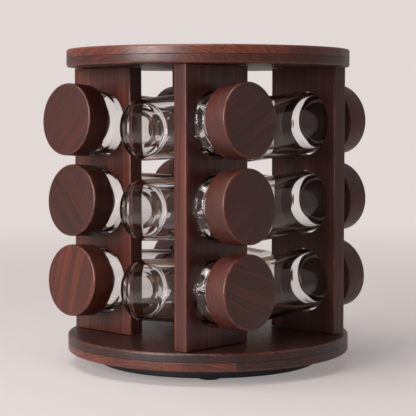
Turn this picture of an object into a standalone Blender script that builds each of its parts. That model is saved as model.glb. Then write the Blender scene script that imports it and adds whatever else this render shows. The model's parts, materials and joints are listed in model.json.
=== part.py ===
"""Spice carousel: a wooden rack of twelve lidded glass jars that turns on a low black base.

Two round plates are joined by four upright boards, set like the vanes of a pinwheel. Each board has
three round holes, and a jar lies in each hole, tipped a little towards its heel, with its wooden lid
facing outwards. The rack turns on a ball race between the lower plate and the base.

Frame: the origin is on the floor at the middle of the base, +Z is up and the front board faces -Y.
Units are metres.
"""

import math

import bmesh
import bpy

COLLECTION = "spice_carousel"
MM = 0.001
GAP = 0.3 * MM  # left between pieces that touch
OVERCUT = 1 * MM  # how far a cutter runs past the face it opens
CUT_LAP = 0.1 * MM  # where one cutter overlaps the next
OUTWARDS = (math.pi / 2, 0, 0)  # turns Z to -Y, out of a side's board

# Plates
PLATE_RADIUS = 90 * MM
PLATE_THICKNESS = 11 * MM
PLATE_EDGE = 1.2 * MM
TOTAL_HEIGHT = 200 * MM

# Base and its feet
BASE_RADIUS = 70.5 * MM
BASE_HEIGHT = 8.8 * MM  # floor to the underside of the lower plate
BASE_UNDERSIDE = 1.5 * MM
BASE_EDGE = 1.0 * MM
BASE_FLOOR = 3.4 * MM  # top of the thin floor inside the rim
BASE_RIM_INNER = 54 * MM
BASE_RUNNING_GAP = 0.5 * MM
BOSS_RADIUS = 12 * MM
FOOT_RADIUS = 6.5 * MM
FOOT_HEIGHT = 2.2 * MM
FOOT_EDGE = 0.4 * MM
FOOT_CIRCLE = 61 * MM
FOOT_COUNT = 4

# Ball race
RACE_RADIUS = 42 * MM  # the balls' circle
RACE_WIDTH = 8 * MM
RACE_THICKNESS = 1.4 * MM
GROOVE_DEPTH = 0.75 * MM
GROOVE_HALF = 1.8 * MM
BALL_RADIUS = 1.4 * MM
BALL_COUNT = 10
CAGE_WIDTH = 4 * MM
CAGE_THICKNESS = 1.0 * MM

# Pivot bolt
PIVOT_RADIUS = 4.0 * MM
PIVOT_HEAD_RADIUS = 7.8 * MM
PIVOT_HEAD_HEIGHT = 2.1 * MM
PIVOT_DEPTH = 8.2 * MM  # length inside the lower plate
PIVOT_SEAT = 4.6 * MM  # height of the shoulder that the bolt's head holds down
PIVOT_CLEARANCE = 0.4 * MM

# Boards
BOARD_WIDTH = 53.2 * MM
BOARD_THICKNESS = 10.2 * MM
BOARD_FACE = 51.3 * MM  # the axis to a board's outer face
BOARD_EDGE = 0.8 * MM
JAR_SHIFT = -44.5 * MM  # a board's and its jars' middle, sideways from the axis
HOLE_RADIUS = 20.5 * MM
SIDES = ("front", "right", "back", "left")

# Jars, measured from a jar's bottom along its length
JAR_ROWS = {"top": 153.8 * MM, "middle": 103.5 * MM, "bottom": 53.1 * MM}  # the holes' middles
JAR_TILT = math.radians(4.0)  # a jar's heel hangs low in the slack of its hole
JAR_HOME = -16.3 * MM  # a jar's bottom when it is pushed right in
JAR_RADIUS = 19.5 * MM
NECK_RADIUS = 17.0 * MM
GLASS_WALL = 2.3 * MM
JAR_FLOOR = 3.5 * MM
JAR_HEEL = 2.0 * MM
SHOULDER_START = 67.5 * MM
SHOULDER_END = 71.5 * MM
JAR_LENGTH = 77.7 * MM

# How far each jar stands out from home, as the cook left it
PULLED_OUT = {
    "front": {"top": 3.8 * MM, "middle": 0.0, "bottom": 0.4 * MM},
    "right": {"top": 0.8 * MM, "middle": 0.4 * MM, "bottom": 1.0 * MM},
    "back": {"top": 0.6 * MM, "middle": 1.2 * MM, "bottom": 0.3 * MM},
    "left": {"top": 1.0 * MM, "middle": 0.3 * MM, "bottom": 0.8 * MM},
}

# Lids and seals, measured as the jars are
LID_RADIUS = 22.5 * MM
LID_THICKNESS = 15.7 * MM
LID_EDGE = 1.1 * MM
PLUG_RADIUS = 12.4 * MM
PLUG_LENGTH = 9.5 * MM
SEAL_INNER = 12.7 * MM
SEAL_OUTER = 14.1 * MM
SEAL_LENGTH = 6.5 * MM
SEAL_INSET = 1.4 * MM  # from the lid's inner face to the seal

# Screws below the boards, dowels above them
SCREW_RADIUS = 2.0 * MM
SCREW_HEAD_RADIUS = 3.9 * MM
SCREW_HEAD_HEIGHT = 2.4 * MM
SCREW_DEPTH = 11.5 * MM  # length inside a board
SCREW_RECESS = 0.6 * MM  # head below the lower plate's underside
DOWEL_RADIUS = 3.0 * MM
DOWEL_HALF = 7.5 * MM
DOWEL_EDGE = 0.6 * MM

# Facets
PLATE_STEPS = 48
RING_STEPS = 32
JAR_STEPS = 16
HOLE_STEPS = 24
PIN_STEPS = 12
SHARP_ANGLE = math.radians(35)
MERGE = 0.001 * MM

# Heights worked out from the sizes above
LOWER_PLATE_TOP = BASE_HEIGHT + PLATE_THICKNESS
UPPER_PLATE_BOTTOM = TOTAL_HEIGHT - PLATE_THICKNESS
BOARD_HEIGHT = UPPER_PLATE_BOTTOM - LOWER_PLATE_TOP - 2 * GAP
BOARD_MIDDLE = (UPPER_PLATE_BOTTOM + LOWER_PLATE_TOP) / 2
BOARD_AXIS = BOARD_FACE - BOARD_THICKNESS / 2
LID_SEAT = JAR_LENGTH + GAP
BALL_HEIGHT = (BASE_FLOOR + BASE_HEIGHT) / 2

# Finishes: colour, roughness, metallic
DARK_WOOD = ((0.115, 0.036, 0.016), 0.38, 0.0)
LID_WOOD = ((0.170, 0.058, 0.024), 0.42, 0.0)
BLACK_PLASTIC = ((0.012, 0.012, 0.013), 0.38, 0.0)
CLEAR_GLASS = ((0.86, 0.90, 0.89), 0.04, 0.0)
SILICONE = ((0.72, 0.73, 0.71), 0.50, 0.0)
RUBBER = ((0.020, 0.020, 0.021), 0.85, 0.0)
STEEL = ((0.55, 0.55, 0.56), 0.28, 1.0)
BEECH = ((0.52, 0.36, 0.20), 0.60, 0.0)


def clear_scene():
    """Removes whatever the open file holds."""
    for obj in list(bpy.data.objects):
        bpy.data.objects.remove(obj, do_unlink=True)


def new_collection(name):
    """Makes a collection and links it to the scene."""
    collection = bpy.data.collections.new(name)
    bpy.context.scene.collection.children.link(collection)
    return collection


def add_object(name, data, collection, parent=None, location=(0, 0, 0), rotation=(0, 0, 0)):
    """Places a mesh, or an empty where data is None, in a collection and under a parent."""
    obj = bpy.data.objects.new(name, data)
    obj.location = location
    obj.rotation_euler = rotation
    obj.parent = parent
    collection.objects.link(obj)
    return obj


def set_finish(obj, finish):
    """Gives a piece its own Principled material."""
    colour, roughness, metallic = finish
    material = bpy.data.materials.new(f"{obj.name}_finish")
    material.use_nodes = True
    shader = material.node_tree.nodes["Principled BSDF"]
    shader.inputs["Base Color"].default_value = (*colour, 1.0)
    shader.inputs["Roughness"].default_value = roughness
    shader.inputs["Metallic"].default_value = metallic
    if finish is CLEAR_GLASS:
        shader.inputs["Transmission Weight"].default_value = 1.0
        shader.inputs["IOR"].default_value = 1.5
    if obj.data.users > 1:
        obj.data = obj.data.copy()
    obj.data.materials.clear()
    obj.data.materials.append(material)


def shade(mesh):
    """Shades a mesh smooth, with its real corners left sharp."""
    mesh.shade_smooth()
    mesh.set_sharp_from_angle(angle=SHARP_ANGLE)


def mesh_from(obj):
    """Bakes an object's modifiers into a new mesh and removes the object."""
    graph = bpy.context.evaluated_depsgraph_get()
    mesh = bpy.data.meshes.new_from_object(obj.evaluated_get(graph))
    bpy.data.objects.remove(obj, do_unlink=True)
    shade(mesh)
    return mesh


def turned(profile, steps, closed=False):
    """Turns a profile of (radius, height) points about Z. It runs down the outer side, top to bottom."""
    outline = bpy.data.meshes.new("profile")
    edges = [(i, i + 1) for i in range(len(profile) - 1)]
    if closed:
        edges.append((len(profile) - 1, 0))
    outline.from_pydata([(radius, 0.0, height) for radius, height in profile], edges, [])
    obj = bpy.data.objects.new("profile", outline)
    bpy.context.scene.collection.objects.link(obj)
    screw = obj.modifiers.new("turn", "SCREW")
    screw.axis = "Z"
    screw.angle = math.tau
    screw.steps = steps
    screw.render_steps = steps
    screw.use_merge_vertices = True
    screw.merge_threshold = MERGE
    return mesh_from(obj)


def box(size):
    """Makes a box mesh centred on the origin."""
    form = bmesh.new()
    bmesh.ops.create_cube(form, size=1.0)
    bmesh.ops.scale(form, vec=size, verts=form.verts)
    mesh = bpy.data.meshes.new("box")
    form.to_mesh(mesh)
    form.free()
    return mesh


def cylinders(places, steps):
    """Makes one mesh of upright cylinders, each (x, y, low z, high z, low radius, high radius)."""
    form = bmesh.new()
    for x, y, low, high, low_radius, high_radius in places:
        made = bmesh.ops.create_cone(
            form, cap_ends=True, segments=steps, radius1=low_radius, radius2=high_radius, depth=high - low
        )
        bmesh.ops.translate(form, vec=(x, y, (low + high) / 2), verts=made["verts"])
    mesh = bpy.data.meshes.new("cylinders")
    form.to_mesh(mesh)
    form.free()
    return mesh


def as_cutter(obj):
    """Hides a cutting shape from the model."""
    obj.hide_render = True
    obj.display_type = "WIRE"
    return obj


def cut(obj, cutter):
    """Cuts a piece with a cutter."""
    boolean = obj.modifiers.new(cutter.name, "BOOLEAN")
    boolean.operation = "DIFFERENCE"
    boolean.solver = "EXACT"
    boolean.object = cutter


def disc_profile(radius, low, high, edge):
    """A disc's profile, with a small chamfer at each rim."""
    return [
        (0, high),
        (radius - edge, high),
        (radius, high - edge),
        (radius, low + edge),
        (radius - edge, low),
        (0, low),
    ]


def board_places():
    """The middle of each board, in the row frame, in the order of SIDES."""
    places = []
    for turn in range(len(SIDES)):
        angle = turn * math.pi / 2
        cos, sin = round(math.cos(angle)), round(math.sin(angle))
        places.append((JAR_SHIFT * cos + BOARD_AXIS * sin, JAR_SHIFT * sin - BOARD_AXIS * cos))
    return places


def make_base(parts, cutters, root):
    """The black base, its four rubber feet and the lower half of the ball race."""
    top = BASE_HEIGHT - BASE_RUNNING_GAP
    bore = PIVOT_RADIUS + PIVOT_CLEARANCE
    counterbore = PIVOT_HEAD_RADIUS + PIVOT_CLEARANCE
    profile = [
        (BASE_RADIUS - BASE_EDGE, top),
        (BASE_RADIUS, top - BASE_EDGE),
        (BASE_RADIUS, BASE_UNDERSIDE + BASE_EDGE),
        (BASE_RADIUS - BASE_EDGE, BASE_UNDERSIDE),
        (counterbore, BASE_UNDERSIDE),
        (counterbore, PIVOT_SEAT),
        (bore, PIVOT_SEAT),
        (bore, top - BASE_RUNNING_GAP),
        (BOSS_RADIUS, top - BASE_RUNNING_GAP),
        (BOSS_RADIUS, BASE_FLOOR),
        (BASE_RIM_INNER, BASE_FLOOR),
        (BASE_RIM_INNER, top),
    ]
    base = add_object("base_disc", turned(profile, PLATE_STEPS, closed=True), parts, root)
    set_finish(base, BLACK_PLASTIC)

    angles = [math.pi / 4 + math.tau * i / FOOT_COUNT for i in range(FOOT_COUNT)]
    spots = [(FOOT_CIRCLE * math.cos(a), FOOT_CIRCLE * math.sin(a)) for a in angles]
    pocket_radius = FOOT_RADIUS + GAP
    pockets = [(x, y, 0, FOOT_HEIGHT + GAP, pocket_radius, pocket_radius) for x, y in spots]
    pocket = as_cutter(add_object("cutter_feet", cylinders(pockets, JAR_STEPS), cutters, root))
    cut(base, pocket)

    for number, (x, y) in enumerate(spots, start=1):
        profile = disc_profile(FOOT_RADIUS, 0, FOOT_HEIGHT, FOOT_EDGE)
        foot = add_object(f"foot_{number}", turned(profile, JAR_STEPS), parts, root, (x, y, 0))
        set_finish(foot, RUBBER)

    race = add_object("lower_race", turned(race_profile(), RING_STEPS, closed=True), parts, root)
    race.location.z = BASE_FLOOR + GAP
    set_finish(race, STEEL)


def race_profile():
    """A race's section: a flat ring with a V groove in its upper face."""
    inner = RACE_RADIUS - RACE_WIDTH / 2
    outer = RACE_RADIUS + RACE_WIDTH / 2
    return [
        (outer, RACE_THICKNESS),
        (outer, 0),
        (inner, 0),
        (inner, RACE_THICKNESS),
        (RACE_RADIUS - GROOVE_HALF, RACE_THICKNESS),
        (RACE_RADIUS, RACE_THICKNESS - GROOVE_DEPTH),
        (RACE_RADIUS + GROOVE_HALF, RACE_THICKNESS),
    ]


def make_ball_cage(parts, root):
    """The ring that spaces the balls, with its balls, which turns at half the rack's speed."""
    axis = add_object("cage_axis", None, parts, root, (0, 0, BALL_HEIGHT))
    form = bmesh.new()
    for i in range(BALL_COUNT):
        angle = math.tau * (i + 0.5) / BALL_COUNT
        made = bmesh.ops.create_uvsphere(form, u_segments=8, v_segments=6, radius=BALL_RADIUS)
        place = (RACE_RADIUS * math.cos(angle), RACE_RADIUS * math.sin(angle), 0)
        bmesh.ops.translate(form, vec=place, verts=made["verts"])
    mesh = bpy.data.meshes.new("balls")
    form.to_mesh(mesh)
    form.free()
    balls = bpy.data.objects.new("balls", mesh)
    bpy.context.scene.collection.objects.link(balls)

    inner = RACE_RADIUS - CAGE_WIDTH / 2
    outer = RACE_RADIUS + CAGE_WIDTH / 2
    half = CAGE_THICKNESS / 2
    profile = [(outer, half), (outer, -half), (inner, -half), (inner, half)]
    ring = bpy.data.objects.new("ring", turned(profile, RING_STEPS, closed=True))
    bpy.context.scene.collection.objects.link(ring)
    join = ring.modifiers.new("balls", "BOOLEAN")
    join.operation = "UNION"
    join.solver = "EXACT"
    join.object = balls
    joined = mesh_from(ring)
    bpy.data.objects.remove(balls, do_unlink=True)
    cage = add_object("ball_cage", joined, parts, axis)
    set_finish(cage, STEEL)


def make_plates(parts, cutters, rack):
    """The two round plates, the pivot bolt and the race above the balls."""
    profile = disc_profile(PLATE_RADIUS, BASE_HEIGHT, LOWER_PLATE_TOP, PLATE_EDGE)
    lower = add_object("lower_plate", turned(profile, PLATE_STEPS), parts, rack)
    set_finish(lower, DARK_WOOD)
    profile = disc_profile(PLATE_RADIUS, UPPER_PLATE_BOTTOM, TOTAL_HEIGHT, PLATE_EDGE)
    upper = add_object("upper_plate", turned(profile, PLATE_STEPS), parts, rack)
    set_finish(upper, DARK_WOOD)

    under = BASE_HEIGHT - OVERCUT
    pivot_hole = PIVOT_RADIUS + GAP
    bores = [(0, 0, under, BASE_HEIGHT + PIVOT_DEPTH + GAP, pivot_hole, pivot_hole)]
    for x, y in board_places():
        shank = SCREW_RADIUS + GAP
        head = SCREW_HEAD_RADIUS + GAP
        head_top = BASE_HEIGHT + SCREW_RECESS + SCREW_HEAD_HEIGHT + GAP
        bores.append((x, y, head_top - CUT_LAP, LOWER_PLATE_TOP + OVERCUT, shank, shank))
        bores.append((x, y, under, head_top, head, head))
    for index, bore in enumerate(bores):
        name = f"cutter_lower_plate_{index}"
        cut(lower, as_cutter(add_object(name, cylinders([bore], PIN_STEPS), cutters, rack)))
    dowel = DOWEL_RADIUS + GAP
    sockets = [
        (x, y, UPPER_PLATE_BOTTOM - OVERCUT, UPPER_PLATE_BOTTOM + DOWEL_HALF + GAP, dowel, dowel)
        for x, y in board_places()
    ]
    socket = as_cutter(add_object("cutter_upper_plate", cylinders(sockets, PIN_STEPS), cutters, rack))
    cut(upper, socket)

    head_high = PIVOT_SEAT - GAP
    head_low = head_high - PIVOT_HEAD_HEIGHT
    profile = [
        (0, BASE_HEIGHT + PIVOT_DEPTH),
        (PIVOT_RADIUS, BASE_HEIGHT + PIVOT_DEPTH),
        (PIVOT_RADIUS, head_high),
        (PIVOT_HEAD_RADIUS, head_high),
        (PIVOT_HEAD_RADIUS, head_low),
        (0, head_low),
    ]
    pivot = add_object("pivot_bolt", turned(profile, PIN_STEPS), parts, rack)
    set_finish(pivot, STEEL)

    race = add_object("upper_race", turned(race_profile(), RING_STEPS, closed=True), parts, rack)
    race.location.z = BASE_HEIGHT - GAP
    race.rotation_euler.x = math.pi
    set_finish(race, STEEL)


def make_board(name, parts, cutters, side):
    """An upright board with three round holes, its screw below and its dowel above."""
    middle = (JAR_SHIFT, -BOARD_AXIS, BOARD_MIDDLE)
    mesh = box((BOARD_WIDTH, BOARD_THICKNESS, BOARD_HEIGHT))
    board = add_object(f"board_{name}", mesh, parts, side, middle)
    set_finish(board, DARK_WOOD)
    bevel = board.modifiers.new("edges", "BEVEL")
    bevel.width = BOARD_EDGE
    bevel.segments = 1

    rows = [height - BOARD_MIDDLE for height in JAR_ROWS.values()]
    holes = [(0, row, -BOARD_THICKNESS, BOARD_THICKNESS, HOLE_RADIUS, HOLE_RADIUS) for row in rows]
    mesh = cylinders(holes, HOLE_STEPS)
    cut(board, as_cutter(add_object(f"cutter_holes_{name}", mesh, cutters, side, middle, OUTWARDS)))

    foot = LOWER_PLATE_TOP - OVERCUT
    head = UPPER_PLATE_BOTTOM + OVERCUT
    screw_hole = SCREW_RADIUS + GAP
    dowel_hole = DOWEL_RADIUS + GAP
    ends = [
        (0, 0, foot, LOWER_PLATE_TOP + SCREW_DEPTH + GAP, screw_hole, screw_hole),
        (0, 0, UPPER_PLATE_BOTTOM - DOWEL_HALF - GAP, head, dowel_hole, dowel_hole),
    ]
    axis = (JAR_SHIFT, -BOARD_AXIS, 0)
    mesh = cylinders(ends, PIN_STEPS)
    cut(board, as_cutter(add_object(f"cutter_ends_{name}", mesh, cutters, side, axis)))

    low = BASE_HEIGHT + SCREW_RECESS
    profile = [
        (0, LOWER_PLATE_TOP + SCREW_DEPTH),
        (SCREW_RADIUS, LOWER_PLATE_TOP + SCREW_DEPTH - SCREW_RADIUS),
        (SCREW_RADIUS, low + SCREW_HEAD_HEIGHT),
        (SCREW_HEAD_RADIUS, low + SCREW_HEAD_HEIGHT),
        (SCREW_HEAD_RADIUS, low),
        (0, low),
    ]
    screw = add_object(f"screw_{name}", turned(profile, PIN_STEPS), parts, side, axis)
    set_finish(screw, STEEL)

    low = UPPER_PLATE_BOTTOM - DOWEL_HALF
    profile = disc_profile(DOWEL_RADIUS, low, low + 2 * DOWEL_HALF, DOWEL_EDGE)
    dowel = add_object(f"dowel_{name}", turned(profile, PIN_STEPS), parts, side, axis)
    set_finish(dowel, BEECH)


def jar_profile():
    """A hollow jar on its bottom: its outside from the rim down, then its inside from the floor up."""
    inner = JAR_RADIUS - GLASS_WALL
    mouth = NECK_RADIUS - GLASS_WALL
    outside = [
        (NECK_RADIUS, JAR_LENGTH),
        (NECK_RADIUS, SHOULDER_END),
        (JAR_RADIUS, SHOULDER_START),
        (JAR_RADIUS, JAR_HEEL),
        (JAR_RADIUS - JAR_HEEL, 0),
        (0, 0),
    ]
    inside = [
        (0, JAR_FLOOR),
        (inner - JAR_HEEL, JAR_FLOOR),
        (inner, JAR_FLOOR + JAR_HEEL),
        (inner, SHOULDER_START - GLASS_WALL / 2),
        (mouth, SHOULDER_END - GLASS_WALL / 2),
        (mouth, JAR_LENGTH),
    ]
    return outside + inside


def lid_profile():
    """A thick wooden disc with a plug that goes into the jar's mouth."""
    face = LID_SEAT + LID_THICKNESS
    return [
        (0, face),
        (LID_RADIUS - LID_EDGE, face),
        (LID_RADIUS, face - LID_EDGE),
        (LID_RADIUS, LID_SEAT + LID_EDGE / 2),
        (LID_RADIUS - LID_EDGE / 2, LID_SEAT),
        (PLUG_RADIUS, LID_SEAT),
        (PLUG_RADIUS, LID_SEAT - PLUG_LENGTH),
        (0, LID_SEAT - PLUG_LENGTH),
    ]


def seal_profile():
    """A silicone ring around the plug."""
    high = LID_SEAT - SEAL_INSET
    low = high - SEAL_LENGTH
    return [(SEAL_OUTER, high), (SEAL_OUTER, low), (SEAL_INNER, low), (SEAL_INNER, high)]


def make_jars(name, parts, side):
    """A side's three jars, each with its lid and seal. Their local Z runs outwards along the jar."""
    tipped = (math.pi / 2 - JAR_TILT, 0, 0)
    for row, height in JAR_ROWS.items():
        behind_board = BOARD_AXIS - JAR_HOME - PULLED_OUT[name][row]
        back = behind_board * math.cos(JAR_TILT) - BOARD_AXIS
        drop = behind_board * math.sin(JAR_TILT)
        jar_mesh = turned(jar_profile(), JAR_STEPS, closed=True)
        place = (JAR_SHIFT, back, height - drop)
        jar = add_object(f"jar_{name}_{row}", jar_mesh, parts, side, place, tipped)
        set_finish(jar, CLEAR_GLASS)
        lid = add_object(f"lid_{name}_{row}", turned(lid_profile(), JAR_STEPS), parts, jar)
        set_finish(lid, LID_WOOD)
        seal_mesh = turned(seal_profile(), JAR_STEPS, closed=True)
        seal = add_object(f"seal_{name}_{row}", seal_mesh, parts, lid)
        set_finish(seal, SILICONE)


def main():
    """Builds the carousel from the floor up."""
    clear_scene()
    parts = new_collection(COLLECTION)
    cutters = new_collection("cutters")
    cutters.hide_render = True
    root = add_object("base_axis", None, parts)
    rack = add_object("carousel_axis", None, parts, root)
    make_base(parts, cutters, root)
    make_ball_cage(parts, root)
    make_plates(parts, cutters, rack)
    for turn, name in enumerate(SIDES):
        side = add_object(f"side_{name}", None, parts, rack, rotation=(0, 0, turn * math.pi / 2))
        make_board(name, parts, cutters, side)
        make_jars(name, parts, side)


main()
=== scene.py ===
"""Looks of the spice carousel: stained wood, clear glass, a black base and the studio around them.

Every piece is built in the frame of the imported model, in metres, with +Z up and the front board
facing -Y. Turned pieces come from one Geometry Nodes lathe, boards from filled outlines.
"""

import json
import logging
import math
from collections.abc import Iterable, Sequence
from dataclasses import dataclass, field
from enum import Enum

import bmesh
import bpy
from mathutils import Matrix, Vector, noise


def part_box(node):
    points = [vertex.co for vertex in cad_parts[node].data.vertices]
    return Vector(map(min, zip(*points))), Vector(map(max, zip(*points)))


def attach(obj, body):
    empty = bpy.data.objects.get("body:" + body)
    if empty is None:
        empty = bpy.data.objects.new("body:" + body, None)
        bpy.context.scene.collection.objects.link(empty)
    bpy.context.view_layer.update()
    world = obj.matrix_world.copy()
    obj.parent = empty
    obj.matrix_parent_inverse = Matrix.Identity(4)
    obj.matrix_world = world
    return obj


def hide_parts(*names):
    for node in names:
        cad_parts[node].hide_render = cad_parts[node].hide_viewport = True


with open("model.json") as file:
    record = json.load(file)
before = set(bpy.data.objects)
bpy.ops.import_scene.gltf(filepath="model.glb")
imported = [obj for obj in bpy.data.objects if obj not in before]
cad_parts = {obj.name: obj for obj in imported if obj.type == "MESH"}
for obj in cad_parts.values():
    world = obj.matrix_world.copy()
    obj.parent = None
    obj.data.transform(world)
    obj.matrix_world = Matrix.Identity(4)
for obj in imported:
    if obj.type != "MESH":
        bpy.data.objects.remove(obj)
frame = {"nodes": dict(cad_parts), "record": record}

log = logging.getLogger("spice_carousel")

Colour = tuple[float, float, float]
Scale = tuple[float, float, float]
Profile = list[tuple[float, float]]
Corners = list[tuple[float, float, float]]
Sockets = Iterable[tuple[str, str]]

MM = 0.001
UP = Vector((0.0, 0.0, 1.0))
SHARP_ANGLE = math.radians(38)
# Facets of rounded edges, which the wood paints paler: stain that has come off with use and a painted
# highlight
WEAR_AND_HIGHLIGHT_ANGLES = (math.radians(10), math.radians(30))  # how far the facets of a rounded edge turn
MERGE_DISTANCE = 1e-6
CORNER_STEPS = 6
BALL_SEGMENTS = 32
BALL_RINGS = 18
GRAIN = "grain"  # attribute with a point's place in its block of wood
WEAR_AND_HIGHLIGHT = "wear"  # attribute that is 1 on a rounded edge
SENSOR_WIDTH = 36.0


class Side(Enum):
    """The four sides of the rack, each with the number of quarter turns from the front."""

    FRONT = 0
    RIGHT = 1
    BACK = 2
    LEFT = 3

    @property
    def label(self) -> str:
        """The side's name in node names."""
        return self.name.lower()

    @property
    def outwards(self) -> Vector:
        """The direction that the side's lids face."""
        return self.turn(Vector((0.0, -1.0, 0.0)))

    def turn(self, vector: Vector) -> Vector:
        """Turns a front-side vector to this side."""
        return Matrix.Rotation(self.value * math.pi / 2, 3, "Z") @ vector


class Row(Enum):
    """The three rows of jars."""

    TOP = "top"
    MIDDLE = "middle"
    BOTTOM = "bottom"


# ---------------------------------------------------------------------------------------------
# Wiring of node trees
# ---------------------------------------------------------------------------------------------


@dataclass
class Wiring:
    """A node tree that is being wired up.

    Args:
        tree: The shader or geometry tree that receives the nodes.
    """

    tree: bpy.types.NodeTree

    def add(self, kind: str, **settings: object) -> bpy.types.Node:
        """Adds a node and sets its properties.

        Args:
            kind: The node's type name.
            settings: Properties of the node.

        Returns:
            The new node.
        """
        node = self.tree.nodes.new(kind)
        for name, value in settings.items():
            setattr(node, name, value)
        return node

    def feed(self, socket: bpy.types.NodeSocket, value: object) -> None:
        """Links a socket to another socket, or sets it to a plain value.

        Args:
            socket: The input socket.
            value: An output socket, or a value for the input.
        """
        if isinstance(value, bpy.types.NodeSocket):
            self.tree.links.new(value, socket)
        else:
            socket.default_value = value

    def maths(self, operation: str, *values: object, clamp: bool = False) -> bpy.types.NodeSocket:
        """Adds a Math node.

        Args:
            operation: The node's operation.
            values: One to three sockets or numbers.
            clamp: Whether the result is kept between 0 and 1.

        Returns:
            The node's result.
        """
        node = self.add("ShaderNodeMath", operation=operation, use_clamp=clamp)
        for socket, value in zip(node.inputs, values):
            self.feed(socket, value)
        return node.outputs[0]

    def scaled(self, vector: object, factors: Scale) -> bpy.types.NodeSocket:
        """Multiplies a vector by three factors, one to an axis.

        Args:
            vector: The socket with the vector.
            factors: The three factors.

        Returns:
            The scaled vector.
        """
        node = self.add("ShaderNodeVectorMath", operation="MULTIPLY")
        self.feed(node.inputs[0], vector)
        node.inputs[1].default_value = factors
        return node.outputs[0]

    def noise(self, vector: object, detail: float = 2.0, rough: float = 0.5) -> bpy.types.Node:
        """Adds a 3-D noise at scale 1, whose size is set by the vector that feeds it.

        Args:
            vector: The socket with the place.
            detail: How many finer layers the noise has.
            rough: How strong the finer layers are.

        Returns:
            The noise node.
        """
        node = self.add("ShaderNodeTexNoise", noise_dimensions="3D")
        self.feed(node.inputs["Vector"], vector)
        node.inputs["Scale"].default_value = 1.0
        node.inputs["Detail"].default_value = detail
        node.inputs["Roughness"].default_value = rough
        return node

    def spread(
        self, value: object, low: float, high: float, to_low: float = 0.0, to_high: float = 1.0
    ) -> bpy.types.NodeSocket:
        """Maps a range of values to another range, clamped and eased at both ends.

        Args:
            value: The socket with the value.
            low: The value that gives to_low.
            high: The value that gives to_high.
            to_low: The result at and below low.
            to_high: The result at and above high.

        Returns:
            The mapped value.
        """
        node = self.add("ShaderNodeMapRange", interpolation_type="SMOOTHSTEP")
        self.feed(node.inputs["Value"], value)
        ends = {"From Min": low, "From Max": high, "To Min": to_low, "To Max": to_high}
        for name, number in ends.items():
            node.inputs[name].default_value = number
        return node.outputs["Result"]

    def blend(self, factor: object, first: object, second: object) -> bpy.types.NodeSocket:
        """Mixes two colours.

        Args:
            factor: How much of the second colour, a socket or a number.
            first: The colour at factor 0.
            second: The colour at factor 1.

        Returns:
            The mixed colour.
        """
        node = self.add("ShaderNodeMix", data_type="RGBA")
        self.feed(node.inputs["Factor"], factor)
        for socket, colour in ((node.inputs[6], first), (node.inputs[7], second)):
            self.feed(socket, (*colour, 1.0) if isinstance(colour, tuple) else colour)
        return node.outputs[2]


def new_group(
    name: str, kind: str, inputs: Sockets, outputs: Sockets
) -> tuple[Wiring, bpy.types.Node, bpy.types.Node]:
    """Makes an empty node group with named sockets.

    Args:
        name: The group's name.
        kind: The tree's type name.
        inputs: Pairs of socket name and socket type.
        outputs: Pairs of socket name and socket type.

    Returns:
        The wiring, the group's input node and its output node.
    """
    tree = bpy.data.node_groups.new(name, kind)
    for label, socket in inputs:
        tree.interface.new_socket(label, in_out="INPUT", socket_type=socket)
    for label, socket in outputs:
        tree.interface.new_socket(label, in_out="OUTPUT", socket_type=socket)
    wiring = Wiring(tree)
    return wiring, wiring.add("NodeGroupInput"), wiring.add("NodeGroupOutput")


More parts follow.
